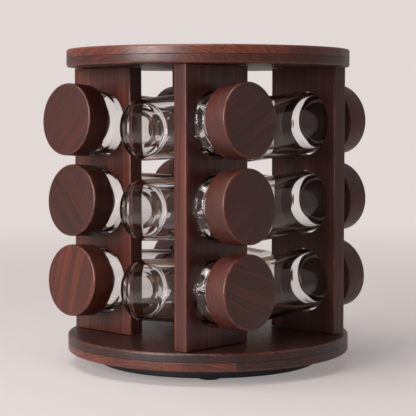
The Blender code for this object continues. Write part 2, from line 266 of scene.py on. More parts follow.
@dataclass(frozen=True)
class Timber:
    """The timber that the rack and its lids are cut from. Scales are along, across and through it.

    Args:
        cut_spread: How far apart in the log staves are cut.
        cut_least: The least distance from the log's heart.
        bend_scale: Scale of the fibres' slow bends.
        bend_reach: How far the fibres bend, sideways.
        ring_scale: Scale of the growth rings, along the distance from the heart.
        fibre_scale: Scale of the fibres.
        cloud_scale: Scale of the broad pale and dark patches.
        pore_scale: Scale of the open pores.
        figure_range: Range of the rings' and fibres' noise that runs from dark to pale.
        cloud_range: The same for the patches.
        pore_range: The same for the pores.
        ring_share: The rings' share in the figure.
        fibre_share: The fibres' share in the figure.
        cloud_share: The patches' share in the figure.
        pore_colour: Colour of pores and glue.
        pore_strength: How strongly that colour covers the wood.
        ply_shift: How far the upper ply's staves are set over, in stave widths.
        glue_half: Half widths of a glue line, full and faded out.
        rub_scale: Scale of the pale spots on edges, from stain that has come off and from a painted
            highlight.
        rub_range: Range of their noise.
        rub_strength: Least and greatest share of the pale colour on a rounded edge, from stain that has
            come off and a painted highlight.
        roughness: Roughness of bare fibres.
        fibre_gloss: What a raised fibre adds to the roughness.
        pore_roughness: What a pore adds to it.
        fibre_lift: Height of a fibre, as a share of the bump's distance.
        pore_drop: Depth of a pore, likewise.
        glue_drop: Depth of a glue line, likewise.
    """

    cut_spread: Scale = (1.7, 0.050, 0.060)
    cut_least: Scale = (0.0, 0.020, 0.030)
    bend_scale: Scale = (7.0, 18.0, 18.0)
    bend_reach: float = 0.009
    ring_scale: float = 560.0
    fibre_scale: Scale = (12.0, 760.0, 760.0)
    cloud_scale: Scale = (8.0, 60.0, 60.0)
    pore_scale: Scale = (85.0, 2300.0, 2300.0)
    figure_range: tuple[float, float] = (0.30, 0.70)
    cloud_range: tuple[float, float] = (0.32, 0.68)
    pore_range: tuple[float, float] = (0.60, 0.70)
    ring_share: float = 0.38
    fibre_share: float = 0.32
    cloud_share: float = 0.30
    pore_colour: Colour = (0.010, 0.005, 0.004)
    pore_strength: float = 0.5
    ply_shift: float = 0.37
    glue_half: tuple[float, float] = (0.06 * MM, 0.30 * MM)
    rub_scale: Scale = (160.0, 420.0, 420.0)
    rub_range: tuple[float, float] = (0.34, 0.66)
    rub_strength: tuple[float, float] = (0.04, 0.38)
    roughness: float = 0.42
    fibre_gloss: float = -0.06
    pore_roughness: float = 0.20
    fibre_lift: float = 0.35
    pore_drop: float = -0.8
    glue_drop: float = -0.9

    def group(self) -> bpy.types.NodeTree:
        """Builds the grain of one piece of the timber.

        The block's X runs along the fibres, Y across them and Z through the thickness, in metres. A
        block that crosses Z = 0 is glued up there from two plies, and a ply from staves side by side.
        Each stave is a different piece of the same timber.

        Returns:
            The shader group.
        """
        floats = ["Contrast", "Tone", "Ply Step", "Joint Step", "Tone Spread", "Stave Width", "Seed"]
        wiring, entry, exit_node = new_group(
            "wood_grain",
            "ShaderNodeTree",
            [
                ("Block", "NodeSocketVector"),
                ("Wear", "NodeSocketFloat"),
                ("Dark", "NodeSocketColor"),
                ("Middle", "NodeSocketColor"),
                ("Pale", "NodeSocketColor"),
                *((name, "NodeSocketFloat") for name in floats),
            ],
            [
                ("Color", "NodeSocketColor"),
                ("Roughness", "NodeSocketFloat"),
                ("Height", "NodeSocketFloat"),
            ],
        )
        block = wiring.add("ShaderNodeSeparateXYZ")
        wiring.feed(block.inputs[0], entry.outputs["Block"])
        _, across, through = block.outputs

        # Which ply, 0 below the block's middle and 1 above, and which stave of it
        ply = wiring.maths("GREATER_THAN", through, 0.0)
        staves = wiring.maths("DIVIDE", across, entry.outputs["Stave Width"])
        staves = wiring.maths("MULTIPLY_ADD", ply, self.ply_shift, staves)
        cell = wiring.add("ShaderNodeCombineXYZ")
        wiring.feed(cell.inputs[0], wiring.maths("FLOOR", staves))
        wiring.feed(cell.inputs[1], ply)
        wiring.feed(cell.inputs[2], entry.outputs["Seed"])
        chance = wiring.add("ShaderNodeTexWhiteNoise", noise_dimensions="3D")
        wiring.feed(chance.inputs["Vector"], cell.outputs[0])

        place, wavy = self.cut(wiring, entry.outputs["Block"], chance.outputs["Color"])
        parts = self.parts(wiring, place, wavy)
        steps = (ply, across, chance.outputs["Value"])
        figure = self.figure(wiring, entry, parts, steps)
        dark_half = wiring.maths("MULTIPLY", figure, 2.0, clamp=True)
        pale_half = wiring.maths("MULTIPLY_ADD", figure, 2.0, -1.0, clamp=True)
        colour = wiring.blend(dark_half, entry.outputs["Dark"], entry.outputs["Middle"])
        colour = wiring.blend(pale_half, colour, entry.outputs["Pale"])
        pore_cover = wiring.maths("MULTIPLY", parts["pores"], self.pore_strength)
        colour = wiring.blend(pore_cover, colour, self.pore_colour)

        # A hairline of glue between staves and between plies
        to_joint = wiring.maths("PINGPONG", wiring.maths("FRACT", staves), 0.5)
        to_joint = wiring.maths("MULTIPLY", to_joint, entry.outputs["Stave Width"])
        to_glue = wiring.maths("MINIMUM", to_joint, wiring.maths("ABSOLUTE", through))
        glue = wiring.spread(to_glue, *self.glue_half, 1.0, 0.0)
        glue_cover = wiring.maths("MULTIPLY", glue, self.pore_strength)
        colour = wiring.blend(glue_cover, colour, self.pore_colour)

        # Rounded edges are paler: partly stain that has come off with use, partly a painted highlight
        rub_and_highlight_noise = wiring.noise(wiring.scaled(place, self.rub_scale), detail=2.0)
        rub_and_highlight_part = wiring.spread(rub_and_highlight_noise.outputs["Fac"], *self.rub_range, *self.rub_strength)
        worn_and_highlit = wiring.maths("MULTIPLY", rub_and_highlight_part, entry.outputs["Wear"])
        colour = wiring.blend(worn_and_highlit, colour, entry.outputs["Pale"])
        wiring.feed(exit_node.inputs["Color"], colour)

        rough = wiring.maths("MULTIPLY_ADD", parts["fibres"], self.fibre_gloss, self.roughness)
        rough = wiring.maths("MULTIPLY_ADD", parts["pores"], self.pore_roughness, rough)
        wiring.feed(exit_node.inputs["Roughness"], rough)
        lift = wiring.maths("MULTIPLY", parts["fibres"], self.fibre_lift)
        height = wiring.maths("MULTIPLY_ADD", parts["pores"], self.pore_drop, lift)
        height = wiring.maths("MULTIPLY_ADD", glue, self.glue_drop, height)
        wiring.feed(exit_node.inputs["Height"], height)
        return wiring.tree

    def cut(
        self, wiring: Wiring, block: bpy.types.NodeSocket, chance: bpy.types.NodeSocket
    ) -> tuple[bpy.types.NodeSocket, bpy.types.NodeSocket]:
        """Cuts a stave from its own place in the log, some way out from the heart.

        Args:
            wiring: The wiring of the group.
            block: The place in the block.
            chance: Three random numbers for the stave.

        Returns:
            The place in the log, and the same place moved along with the fibres' bends.
        """
        start = wiring.add("ShaderNodeVectorMath", operation="MULTIPLY_ADD")
        wiring.feed(start.inputs[0], chance)
        start.inputs[1].default_value = self.cut_spread
        start.inputs[2].default_value = self.cut_least
        place = wiring.add("ShaderNodeVectorMath", operation="ADD")
        wiring.feed(place.inputs[0], block)
        wiring.feed(place.inputs[1], start.outputs[0])
        bend = wiring.noise(wiring.scaled(place.outputs[0], self.bend_scale), detail=1.5)
        bend_away = wiring.add("ShaderNodeVectorMath", operation="SUBTRACT")
        wiring.feed(bend_away.inputs[0], bend.outputs["Color"])
        bend_away.inputs[1].default_value = (0.5, 0.5, 0.5)
        sideways = (0.0, self.bend_reach, self.bend_reach)
        wavy = wiring.add("ShaderNodeVectorMath", operation="ADD")
        wiring.feed(wavy.inputs[0], place.outputs[0])
        wiring.feed(wavy.inputs[1], wiring.scaled(bend_away.outputs[0], sideways))
        return place.outputs[0], wavy.outputs[0]

    def parts(
        self, wiring: Wiring, place: bpy.types.NodeSocket, wavy: bpy.types.NodeSocket
    ) -> dict[str, bpy.types.NodeSocket]:
        """Draws the timber's rings, fibres, patches and pores.

        Args:
            wiring: The wiring of the group.
            place: The place in the log.
            wavy: The same place moved along with the fibres' bends.

        Returns:
            The four masks, by name.
        """
        distance = wiring.add("ShaderNodeVectorMath", operation="LENGTH")
        wiring.feed(distance.inputs[0], wiring.scaled(wavy, (0.0, 1.0, 1.0)))
        rings = wiring.add("ShaderNodeTexNoise", noise_dimensions="1D")
        wiring.feed(rings.inputs["W"], distance.outputs["Value"])
        rings.inputs["Scale"].default_value = self.ring_scale
        rings.inputs["Detail"].default_value = 3.0
        rings.inputs["Roughness"].default_value = 0.65
        fibres = wiring.noise(wiring.scaled(wavy, self.fibre_scale), detail=3.0, rough=0.65)
        clouds = wiring.noise(wiring.scaled(place, self.cloud_scale), detail=2.0)
        pores = wiring.noise(wiring.scaled(wavy, self.pore_scale), detail=1.0)
        return {
            "rings": wiring.spread(rings.outputs["Fac"], *self.figure_range),
            "fibres": wiring.spread(fibres.outputs["Fac"], *self.figure_range),
            "clouds": wiring.spread(clouds.outputs["Fac"], *self.cloud_range),
            "pores": wiring.spread(pores.outputs["Fac"], *self.pore_range),
        }

    def figure(
        self,
        wiring: Wiring,
        entry: bpy.types.Node,
        parts: dict[str, bpy.types.NodeSocket],
        steps: tuple[bpy.types.NodeSocket, bpy.types.NodeSocket, bpy.types.NodeSocket],
    ) -> bpy.types.NodeSocket:
        """Adds up the figure, with the steps in tone between plies and staves.

        Args:
            wiring: The wiring of the group.
            entry: The group's input node.
            parts: The timber's masks, by name.
            steps: The ply, the place across it and the stave's random number.

        Returns:
            The figure, from 0, dark, to 1, pale.
        """
        figure = wiring.maths("MULTIPLY", parts["rings"], self.ring_share)
        figure = wiring.maths("MULTIPLY_ADD", parts["fibres"], self.fibre_share, figure)
        figure = wiring.maths("MULTIPLY_ADD", parts["clouds"], self.cloud_share, figure)
        figure = wiring.maths("SUBTRACT", figure, 0.5)
        figure = wiring.maths("MULTIPLY", figure, entry.outputs["Contrast"])
        ply, across, chance = steps
        tone = wiring.maths("SUBTRACT", chance, 0.5)
        spread = entry.outputs["Tone Spread"]
        tone = wiring.maths("MULTIPLY_ADD", tone, spread, entry.outputs["Tone"])
        upper = wiring.maths("MULTIPLY_ADD", ply, 2.0, -1.0)
        tone = wiring.maths("MULTIPLY_ADD", upper, entry.outputs["Ply Step"], tone)
        near = wiring.maths("MULTIPLY_ADD", wiring.maths("LESS_THAN", across, 0.0), 2.0, -1.0)
        near = wiring.maths("MULTIPLY", near, wiring.maths("SUBTRACT", 1.0, ply))
        tone = wiring.maths("MULTIPLY_ADD", near, entry.outputs["Joint Step"], tone)
        return wiring.maths("ADD", wiring.maths("ADD", figure, 0.5), tone, clamp=True)


@dataclass(frozen=True)
class Handling:
    """The marks of handling: soft smears and specks of dust.

    Args:
        smear_scale: Scale of the smears, along the piece's X, Y and Z.
        smear_range: Range of their noise, from clean to smeared.
        speck_scale: Scale of the specks.
        speck_range: Range of their noise, from clean to dusty.
    """

    smear_scale: Scale = (70.0, 70.0, 38.0)
    smear_range: tuple[float, float] = (0.42, 0.72)
    speck_scale: Scale = (1500.0, 1500.0, 1500.0)
    speck_range: tuple[float, float] = (0.74, 0.80)

    def group(self) -> bpy.types.NodeTree:
        """Builds the marks.

        Returns:
            The shader group, which puts out a Smear and a Speck mask.
        """
        wiring, entry, exit_node = new_group(
            "handling",
            "ShaderNodeTree",
            [("Place", "NodeSocketVector"), ("Seed", "NodeSocketFloat")],
            [("Smear", "NodeSocketFloat"), ("Speck", "NodeSocketFloat")],
        )
        shift = wiring.add("ShaderNodeCombineXYZ")
        for socket in shift.inputs:
            wiring.feed(socket, entry.outputs["Seed"])
        place = wiring.add("ShaderNodeVectorMath", operation="ADD")
        wiring.feed(place.inputs[0], entry.outputs["Place"])
        wiring.feed(place.inputs[1], shift.outputs[0])
        smear_place = wiring.scaled(place.outputs[0], self.smear_scale)
        smear = wiring.noise(smear_place, detail=3.0, rough=0.6)
        speck = wiring.noise(wiring.scaled(place.outputs[0], self.speck_scale), detail=0.0)
        smears = wiring.spread(smear.outputs["Fac"], *self.smear_range)
        wiring.feed(exit_node.inputs["Smear"], smears)
        specks = wiring.spread(speck.outputs["Fac"], *self.speck_range)
        wiring.feed(exit_node.inputs["Speck"], specks)
        return wiring.tree


WOOD_GRAIN = Timber().group()
HANDLING = Handling().group()


# ---------------------------------------------------------------------------------------------
# Finishes
# ---------------------------------------------------------------------------------------------


def new_material(name: str) -> tuple[bpy.types.Material, Wiring, bpy.types.Node]:
    """Makes a material with a Principled shader.

    Args:
        name: The material's name.

    Returns:
        The material, its wiring and its shader node.
    """
    material = bpy.data.materials.new(name)
    material.use_nodes = True
    return material, Wiring(material.node_tree), material.node_tree.nodes["Principled BSDF"]


def handling_marks(wiring: Wiring, seed: float) -> bpy.types.Node:
    """Places the handling group on the piece's own coordinates.

    Args:
        wiring: The wiring of the material.
        seed: Picks the marks.

    Returns:
        The group's node.
    """
    place = wiring.add("ShaderNodeTexCoord")
    marks = wiring.add("ShaderNodeGroup", node_tree=HANDLING)
    wiring.feed(marks.inputs["Place"], place.outputs["Object"])
    marks.inputs["Seed"].default_value = seed
    return marks


def add_bump(
    wiring: Wiring, shader: bpy.types.Node, height: object, strength: float, distance: float
) -> None:
    """Lifts a surface's normal by a height.

    Args:
        wiring: The wiring of the material.
        shader: The shader node.
        height: The socket with the height.
        strength: The bump's strength.
        distance: The height of a full step.
    """
    bump = wiring.add("ShaderNodeBump")
    bump.inputs["Strength"].default_value = strength
    bump.inputs["Distance"].default_value = distance
    wiring.feed(bump.inputs["Height"], height)
    wiring.feed(shader.inputs["Normal"], bump.outputs["Normal"])


@dataclass(frozen=True)
class StainedWood:
    """Hardwood stained red-brown under a satin lacquer.

    Args:
        name: The material's name.
        seed: Picks the piece of timber.
        tone: Shifts the whole piece from dark (below 0) to pale (above 0).
        contrast: Strength of the figure.
        ply_step: How much paler the upper ply is than the middle tone, and the lower ply darker.
        joint_step: How much paler the lower ply is on one side of its middle joint, and darker beyond.
        tone_spread: How much staves differ from each other.
        stave_width: Width of a glued stave, wide enough for the whole piece where there is one.
        dark: Colour of the figure's darkest lines.
        middle: Colour of the ground.
        pale: Colour of the figure's palest lines and of rounded edges, which are paler from stain that
            has come off with use and from a painted highlight.
        lacquer: Weight of the lacquer.
        lacquer_roughness: Roughness of the lacquer.
        smear_roughness: What a smear adds to the wood's roughness.
        bump_strength: Strength of the relief.
        bump_depth: Height of the relief.
    """

    name: str
    seed: float
    tone: float = 0.0
    contrast: float = 0.6
    ply_step: float = 0.0
    joint_step: float = 0.0
    tone_spread: float = 0.0
    stave_width: float = 1.0
    dark: Colour = (0.020, 0.0052, 0.0038)
    middle: Colour = (0.080, 0.0165, 0.0098)
    pale: Colour = (0.285, 0.066, 0.028)
    lacquer: float = 0.30
    lacquer_roughness: float = 0.28
    smear_roughness: float = 0.07
    bump_strength: float = 0.35
    bump_depth: float = 0.12 * MM

    def material(self) -> bpy.types.Material:
        """Builds the material.

        Returns:
            The wood.
        """
        material, wiring, shader = new_material(self.name)
        block = wiring.add("ShaderNodeAttribute", attribute_name=GRAIN)
        grain = wiring.add("ShaderNodeGroup", node_tree=WOOD_GRAIN)
        wiring.feed(grain.inputs["Block"], block.outputs["Vector"])
        # Rounded edges take the pale colour: stain that has come off with use, and a painted highlight
        worn_and_highlit = wiring.add("ShaderNodeAttribute", attribute_name=WEAR_AND_HIGHLIGHT)
        wiring.feed(grain.inputs["Wear"], worn_and_highlit.outputs["Fac"])
        for name, colour in (("Dark", self.dark), ("Middle", self.middle), ("Pale", self.pale)):
            grain.inputs[name].default_value = (*colour, 1.0)
        settings = {
            "Contrast": self.contrast,
            "Tone": self.tone,
            "Ply Step": self.ply_step,
            "Joint Step": self.joint_step,
            "Tone Spread": self.tone_spread,
            "Stave Width": self.stave_width,
            "Seed": self.seed,
        }
        for name, value in settings.items():
            grain.inputs[name].default_value = value
        smear = handling_marks(wiring, self.seed).outputs["Smear"]
        rough = wiring.maths("MULTIPLY_ADD", smear, self.smear_roughness, grain.outputs["Roughness"])
        wiring.feed(shader.inputs["Base Color"], grain.outputs["Color"])
        wiring.feed(shader.inputs["Roughness"], rough)
        shader.inputs["Coat Weight"].default_value = self.lacquer
        shader.inputs["Coat Roughness"].default_value = self.lacquer_roughness
        add_bump(wiring, shader, grain.outputs["Height"], self.bump_strength, self.bump_depth)
        return material


@dataclass(frozen=True)
class ClearGlass:
    """Clear soda glass with the faint film of a jar that has been handled.

    Args:
        name: The material's name.
        seed: Picks the smears.
        tint: Colour of the glass.
        ior: Index of refraction.
        film: Roughness of a smear.
    """

    name: str
    seed: float = 0.0
    tint: Colour = (0.995, 0.992, 0.990)
    ior: float = 1.5
    film: float = 0.010

    def material(self) -> bpy.types.Material:
        """Builds the material.

        Returns:
            The glass.
        """
        material, wiring, shader = new_material(self.name)
        marks = handling_marks(wiring, self.seed)
        shader.inputs["Base Color"].default_value = (*self.tint, 1.0)
        shader.inputs["Transmission Weight"].default_value = 1.0
        shader.inputs["IOR"].default_value = self.ior
        rough = wiring.maths("MULTIPLY", marks.outputs["Smear"], self.film)
        wiring.feed(shader.inputs["Roughness"], rough)
        return material


@dataclass(frozen=True)
class Moulded:
    """Moulded plastic, rubber or silicone with a fine grained skin.

    Args:
        name: The material's name.
        colour: Colour of the clean skin.
        roughness: Roughness of the clean skin.
        skin_scale: Scale of the grain, which picks the smears too.
        skin_depth: Height of the grain.
        skin_strength: Strength of the grain.
        subsurface: How much light goes in under the skin.
        subsurface_reach: How far it goes.
        smear_roughness: What a smear adds to the roughness.
        dust_colour: Colour of the dust.
        dust_strength: How strongly a speck of dust covers the skin.
    """

    name: str
    colour: Colour
    roughness: float
    skin_scale: float = 1800.0
    skin_depth: float = 0.04 * MM
    skin_strength: float = 0.5
    subsurface: float = 0.0
    subsurface_reach: float = 4.0 * MM
    smear_roughness: float = 0.10
    dust_colour: Colour = (0.4, 0.38, 0.36)
    dust_strength: float = 0.12

    def material(self) -> bpy.types.Material:
        """Builds the material.

        Returns:
            The plastic, rubber or silicone.
        """
        material, wiring, shader = new_material(self.name)
        place = wiring.add("ShaderNodeTexCoord")
        skin_place = wiring.scaled(place.outputs["Object"], (self.skin_scale,) * 3)
        skin = wiring.noise(skin_place, detail=2.0)
        marks = handling_marks(wiring, self.skin_scale)
        lighter = tuple(min(1.0, part * 1.25 + 0.006) for part in self.colour)
        colour = wiring.blend(marks.outputs["Smear"], self.colour, lighter)
        dust = wiring.maths("MULTIPLY", marks.outputs["Speck"], self.dust_strength)
        wiring.feed(shader.inputs["Base Color"], wiring.blend(dust, colour, self.dust_colour))
        smear = marks.outputs["Smear"]
        rough = wiring.maths("MULTIPLY_ADD", smear, self.smear_roughness, self.roughness)
        wiring.feed(shader.inputs["Roughness"], rough)
        shader.inputs["Subsurface Weight"].default_value = self.subsurface
        shader.inputs["Subsurface Radius"].default_value = (self.subsurface_reach,) * 3
        shader.inputs["Subsurface Scale"].default_value = 1.0
        add_bump(wiring, shader, skin.outputs["Fac"], self.skin_strength, self.skin_depth)
        return material


@dataclass(frozen=True)
class PlatedSteel:
    """Zinc-plated steel with fine rolled lines.

    Args:
        name: The material's name.
        seed: Picks the smears.
        colour: Colour of the clean plating.
        dulling: How much of the colour is left under a smear.
        line_scale: Scale of the rolled lines.
        roughness: Least roughness.
        line_roughness: What a line adds to it.
        line_strength: Strength of the lines' relief.
        line_depth: Height of the lines.
    """

    name: str
    seed: float = 3.0
    colour: Colour = (0.56, 0.57, 0.59)
    dulling: float = 0.62
    line_scale: Scale = (60.0, 2400.0, 2400.0)
    roughness: float = 0.18
    line_roughness: float = 0.25
    line_strength: float = 0.2
    line_depth: float = 0.03 * MM

    def material(self) -> bpy.types.Material:
        """Builds the material.

        Returns:
            The steel.
        """
        material, wiring, shader = new_material(self.name)
        place = wiring.add("ShaderNodeTexCoord")
        noise_node = wiring.noise(wiring.scaled(place.outputs["Object"], self.line_scale), detail=2.0)
        lines = noise_node.outputs["Fac"]
        marks = handling_marks(wiring, self.seed)
        dull = tuple(part * self.dulling for part in self.colour)
        colour = wiring.blend(marks.outputs["Smear"], self.colour, dull)
        wiring.feed(shader.inputs["Base Color"], colour)
        shader.inputs["Metallic"].default_value = 1.0
        rough = wiring.maths("MULTIPLY_ADD", lines, self.line_roughness, self.roughness)
        wiring.feed(shader.inputs["Roughness"], rough)
        add_bump(wiring, shader, lines, self.line_strength, self.line_depth)
        return material


@dataclass(frozen=True)
class PlainBeech:
    """Unfinished beech, for the dowels.

    Args:
        name: The material's name.
        ground: Colour of the wood.
        fleck: Colour of the flecks.
        fleck_scale: Scale of the flecks.
        fleck_range: Range of their noise.
        roughness: Roughness of the ground.
        fleck_roughness: What a fleck adds to it.
        bump_strength: Strength of the relief.
        bump_depth: Height of the relief.
    """

    name: str
    ground: Colour = (0.56, 0.38, 0.22)
    fleck: Colour = (0.40, 0.24, 0.13)
    fleck_scale: Scale = (1300.0, 1300.0, 120.0)
    fleck_range: tuple[float, float] = (0.40, 0.66)
    roughness: float = 0.62
    fleck_roughness: float = 0.12
    bump_strength: float = 0.3
    bump_depth: float = 0.05 * MM

    def material(self) -> bpy.types.Material:
        """Builds the material.

        Returns:
            The beech.
        """
        material, wiring, shader = new_material(self.name)
        place = wiring.add("ShaderNodeTexCoord")
        flecks = wiring.noise(wiring.scaled(place.outputs["Object"], self.fleck_scale), detail=3.0)
        mask = wiring.spread(flecks.outputs["Fac"], *self.fleck_range)
        wiring.feed(shader.inputs["Base Color"], wiring.blend(mask, self.ground, self.fleck))
        rough = wiring.maths("MULTIPLY_ADD", mask, self.fleck_roughness, self.roughness)
        wiring.feed(shader.inputs["Roughness"], rough)
        add_bump(wiring, shader, flecks.outputs["Fac"], self.bump_strength, self.bump_depth)
        return material


# ---------------------------------------------------------------------------------------------
# Shapes
# ---------------------------------------------------------------------------------------------


def rounded(corners: Corners, steps: int = CORNER_STEPS) -> Profile:
    """Rounds the corners of a profile.

    Args:
        corners: Points as (radius, height, rounding), from the top of the outer side downwards.
        steps: Facets in each rounded corner.

    Returns:
        The profile's points.
    """
    points: Profile = []
    for index, (radius, height, rounding) in enumerate(corners):
        here = Vector((radius, height))
        if rounding <= 0.0 or index in (0, len(corners) - 1):
            points.append((radius, height))
            continue
        back = (Vector(corners[index - 1][:2]) - here).normalized()
        ahead = (Vector(corners[index + 1][:2]) - here).normalized()
        half = back.angle(ahead) / 2
        reach = rounding / math.tan(half)
        centre = here + (back + ahead).normalized() * (rounding / math.sin(half))
        first = here + back * reach - centre
        sweep = first.angle_signed(here + ahead * reach - centre)
        for step in range(steps + 1):
            turned_by = Matrix.Rotation(-sweep * step / steps, 2)
            point = centre + turned_by @ first
            points.append((max(point.x, 0.0), point.y))
    return points


def lathe_tree() -> bpy.types.NodeTree:
    """Builds the lathe, which turns a profile's points about Z.

    Returns:
        The geometry tree, with the inputs Profile, Segments and Finish.
    """
    wiring, entry, exit_node = new_group(
        "lathe",
        "GeometryNodeTree",
        [
            ("Profile", "NodeSocketGeometry"),
            ("Segments", "NodeSocketInt"),
            ("Finish", "NodeSocketMaterial"),
        ],
        [("Turned", "NodeSocketGeometry")],
    )
    count = wiring.add("GeometryNodeAttributeDomainSize", component="MESH")
    wiring.feed(count.inputs["Geometry"], entry.outputs["Profile"])
    last = wiring.maths("SUBTRACT", count.outputs["Point Count"], 1.0)

    grid = wiring.add("GeometryNodeMeshGrid")
    grid.inputs["Size X"].default_value = 1.0
    grid.inputs["Size Y"].default_value = 1.0
    wiring.feed(grid.inputs["Vertices X"], wiring.maths("ADD", entry.outputs["Segments"], 1.0))
    wiring.feed(grid.inputs["Vertices Y"], count.outputs["Point Count"])

    place = wiring.add("GeometryNodeInputPosition")
    split = wiring.add("ShaderNodeSeparateXYZ")
    wiring.feed(split.inputs[0], place.outputs[0])
    angle = wiring.maths("MULTIPLY", wiring.maths("ADD", split.outputs["X"], 0.5), math.tau)
    index = wiring.maths("MULTIPLY", wiring.maths("ADD", split.outputs["Y"], 0.5), last)
    index = wiring.maths("ROUND", index)

    sample = wiring.add("GeometryNodeSampleIndex", data_type="FLOAT_VECTOR", domain="POINT", clamp=True)
    wiring.feed(sample.inputs["Geometry"], entry.outputs["Profile"])
    wiring.feed(sample.inputs["Value"], place.outputs[0])
    wiring.feed(sample.inputs["Index"], index)
    profile_point = wiring.add("ShaderNodeSeparateXYZ")
    wiring.feed(profile_point.inputs[0], sample.outputs[0])
    radius, height = profile_point.outputs["X"], profile_point.outputs["Z"]

    turned_place = wiring.add("ShaderNodeCombineXYZ")
    wiring.feed(turned_place.inputs[0], wiring.maths("MULTIPLY", radius, wiring.maths("COSINE", angle)))
    wiring.feed(turned_place.inputs[1], wiring.maths("MULTIPLY", radius, wiring.maths("SINE", angle)))
    wiring.feed(turned_place.inputs[2], height)
    moved = wiring.add("GeometryNodeSetPosition")
    wiring.feed(moved.inputs["Geometry"], grid.outputs["Mesh"])
    wiring.feed(moved.inputs["Position"], turned_place.outputs[0])

    merged = wiring.add("GeometryNodeMergeByDistance")
    wiring.feed(merged.inputs["Geometry"], moved.outputs["Geometry"])
    merged.inputs["Distance"].default_value = MERGE_DISTANCE
    finish_tree(wiring, merged.outputs["Geometry"], entry, exit_node)
    return wiring.tree


def finish_tree(
    wiring: Wiring, geometry: object, entry: bpy.types.Node, exit_node: bpy.types.Node
) -> None:
    """Ends a geometry tree with Realize Instances and Set Material.

    Args:
        wiring: The wiring of the tree.
        geometry: The socket with the geometry.
        entry: The tree's input node, which has a Finish.
        exit_node: The tree's output node.
    """
    real = wiring.add("GeometryNodeRealizeInstances")
    wiring.feed(real.inputs["Geometry"], geometry)
    finish = wiring.add("GeometryNodeSetMaterial")
    wiring.feed(finish.inputs["Geometry"], real.outputs["Geometry"])
    wiring.feed(finish.inputs["Material"], entry.outputs["Finish"])
    wiring.feed(exit_node.inputs[0], finish.outputs["Geometry"])


def ball_ring_tree() -> bpy.types.NodeTree:
    """Builds a ring of balls, evenly spaced about Z.

    Returns:
        The geometry tree, with the inputs Cage, Balls, Circle Radius, Ball Radius and Finish.
    """
    wiring, entry, exit_node = new_group(
        "ball_ring",
        "GeometryNodeTree",
        [
            ("Cage", "NodeSocketGeometry"),
            ("Balls", "NodeSocketInt"),
            ("Circle Radius", "NodeSocketFloat"),
            ("Ball Radius", "NodeSocketFloat"),
            ("Finish", "NodeSocketMaterial"),
        ],
        [("Ring", "NodeSocketGeometry")],
    )
    circle = wiring.add("GeometryNodeMeshCircle", fill_type="NONE")
    wiring.feed(circle.inputs["Vertices"], entry.outputs["Balls"])
    wiring.feed(circle.inputs["Radius"], entry.outputs["Circle Radius"])
    half_step = wiring.maths("DIVIDE", math.pi, entry.outputs["Balls"])
    spin = wiring.add("ShaderNodeCombineXYZ")
    wiring.feed(spin.inputs[2], half_step)
    turned = wiring.add("GeometryNodeTransform")
    wiring.feed(turned.inputs["Geometry"], circle.outputs["Mesh"])
    wiring.feed(turned.inputs["Rotation"], spin.outputs[0])
    ball = wiring.add("GeometryNodeMeshUVSphere")
    ball.inputs["Segments"].default_value = BALL_SEGMENTS
    ball.inputs["Rings"].default_value = BALL_RINGS
    wiring.feed(ball.inputs["Radius"], entry.outputs["Ball Radius"])
    placed = wiring.add("GeometryNodeInstanceOnPoints")
    wiring.feed(placed.inputs["Points"], turned.outputs["Geometry"])
    wiring.feed(placed.inputs["Instance"], ball.outputs["Mesh"])
    joined = wiring.add("GeometryNodeJoinGeometry")
    wiring.feed(joined.inputs["Geometry"], entry.outputs["Cage"])
    wiring.tree.links.new(placed.outputs["Instances"], joined.inputs["Geometry"])
    finish_tree(wiring, joined.outputs["Geometry"], entry, exit_node)
    return wiring.tree


LATHE = lathe_tree()
BALL_RING = ball_ring_tree()


def run_tree(source: bpy.types.Object, tree: bpy.types.NodeTree, **values: object) -> bpy.types.Mesh:
    """Runs a geometry tree on an object and keeps the result as a plain mesh.

    Args:
        source: The object that feeds the tree, which is removed afterwards.
        tree: The geometry tree.
        values: The tree's inputs, by name with underscores for spaces.

    Returns:
        The finished mesh.
    """
    modifier = source.modifiers.new(tree.name, "NODES")
    modifier.node_group = tree
    for item in tree.interface.items_tree:
        key = item.name.replace(" ", "_")
        if item.in_out == "INPUT" and key in values:
            modifier[item.identifier] = values[key]
    graph = bpy.context.evaluated_depsgraph_get()
    mesh = bpy.data.meshes.new_from_object(source.evaluated_get(graph))
    mesh.name = source.name
    bpy.data.objects.remove(source, do_unlink=True)
    return mesh


def linked(name: str, data: object) -> bpy.types.Object:
    """Makes an object and puts it in the scene.

    Args:
        name: The object's name.
        data: Its mesh, curve, light or camera.

    Returns:
        The object.
    """
    obj = bpy.data.objects.new(name, data)
    bpy.context.scene.collection.objects.link(obj)
    return obj


def turned_mesh(
    name: str, profile: Profile, segments: int, material: bpy.types.Material
) -> bpy.types.Mesh:
    """Turns a profile on the lathe.

    Args:
        name: The mesh's name.
        profile: Points as (radius, height). A ring's profile ends where it starts.
        segments: Facets around the axis.
        material: The piece's finish.

    Returns:
        A closed mesh with its faces pointing outwards.
    """
    outline = bpy.data.meshes.new(name)
    outline.from_pydata([(radius, 0.0, height) for radius, height in profile], [], [])
    mesh = run_tree(linked(name, outline), LATHE, Segments=segments, Finish=material)
    face_outwards(mesh)
    return mesh


def face_outwards(mesh: bpy.types.Mesh) -> None:
    """Merges doubles, drops collapsed faces and turns every face outwards.

    Args:
        mesh: A closed mesh.
    """
    form = bmesh.new()
    form.from_mesh(mesh)
    bmesh.ops.remove_doubles(form, verts=form.verts, dist=MERGE_DISTANCE)
    bmesh.ops.dissolve_degenerate(form, edges=form.edges, dist=MERGE_DISTANCE / 10)
    bmesh.ops.recalc_face_normals(form, faces=form.faces)
    form.to_mesh(mesh)
    form.free()


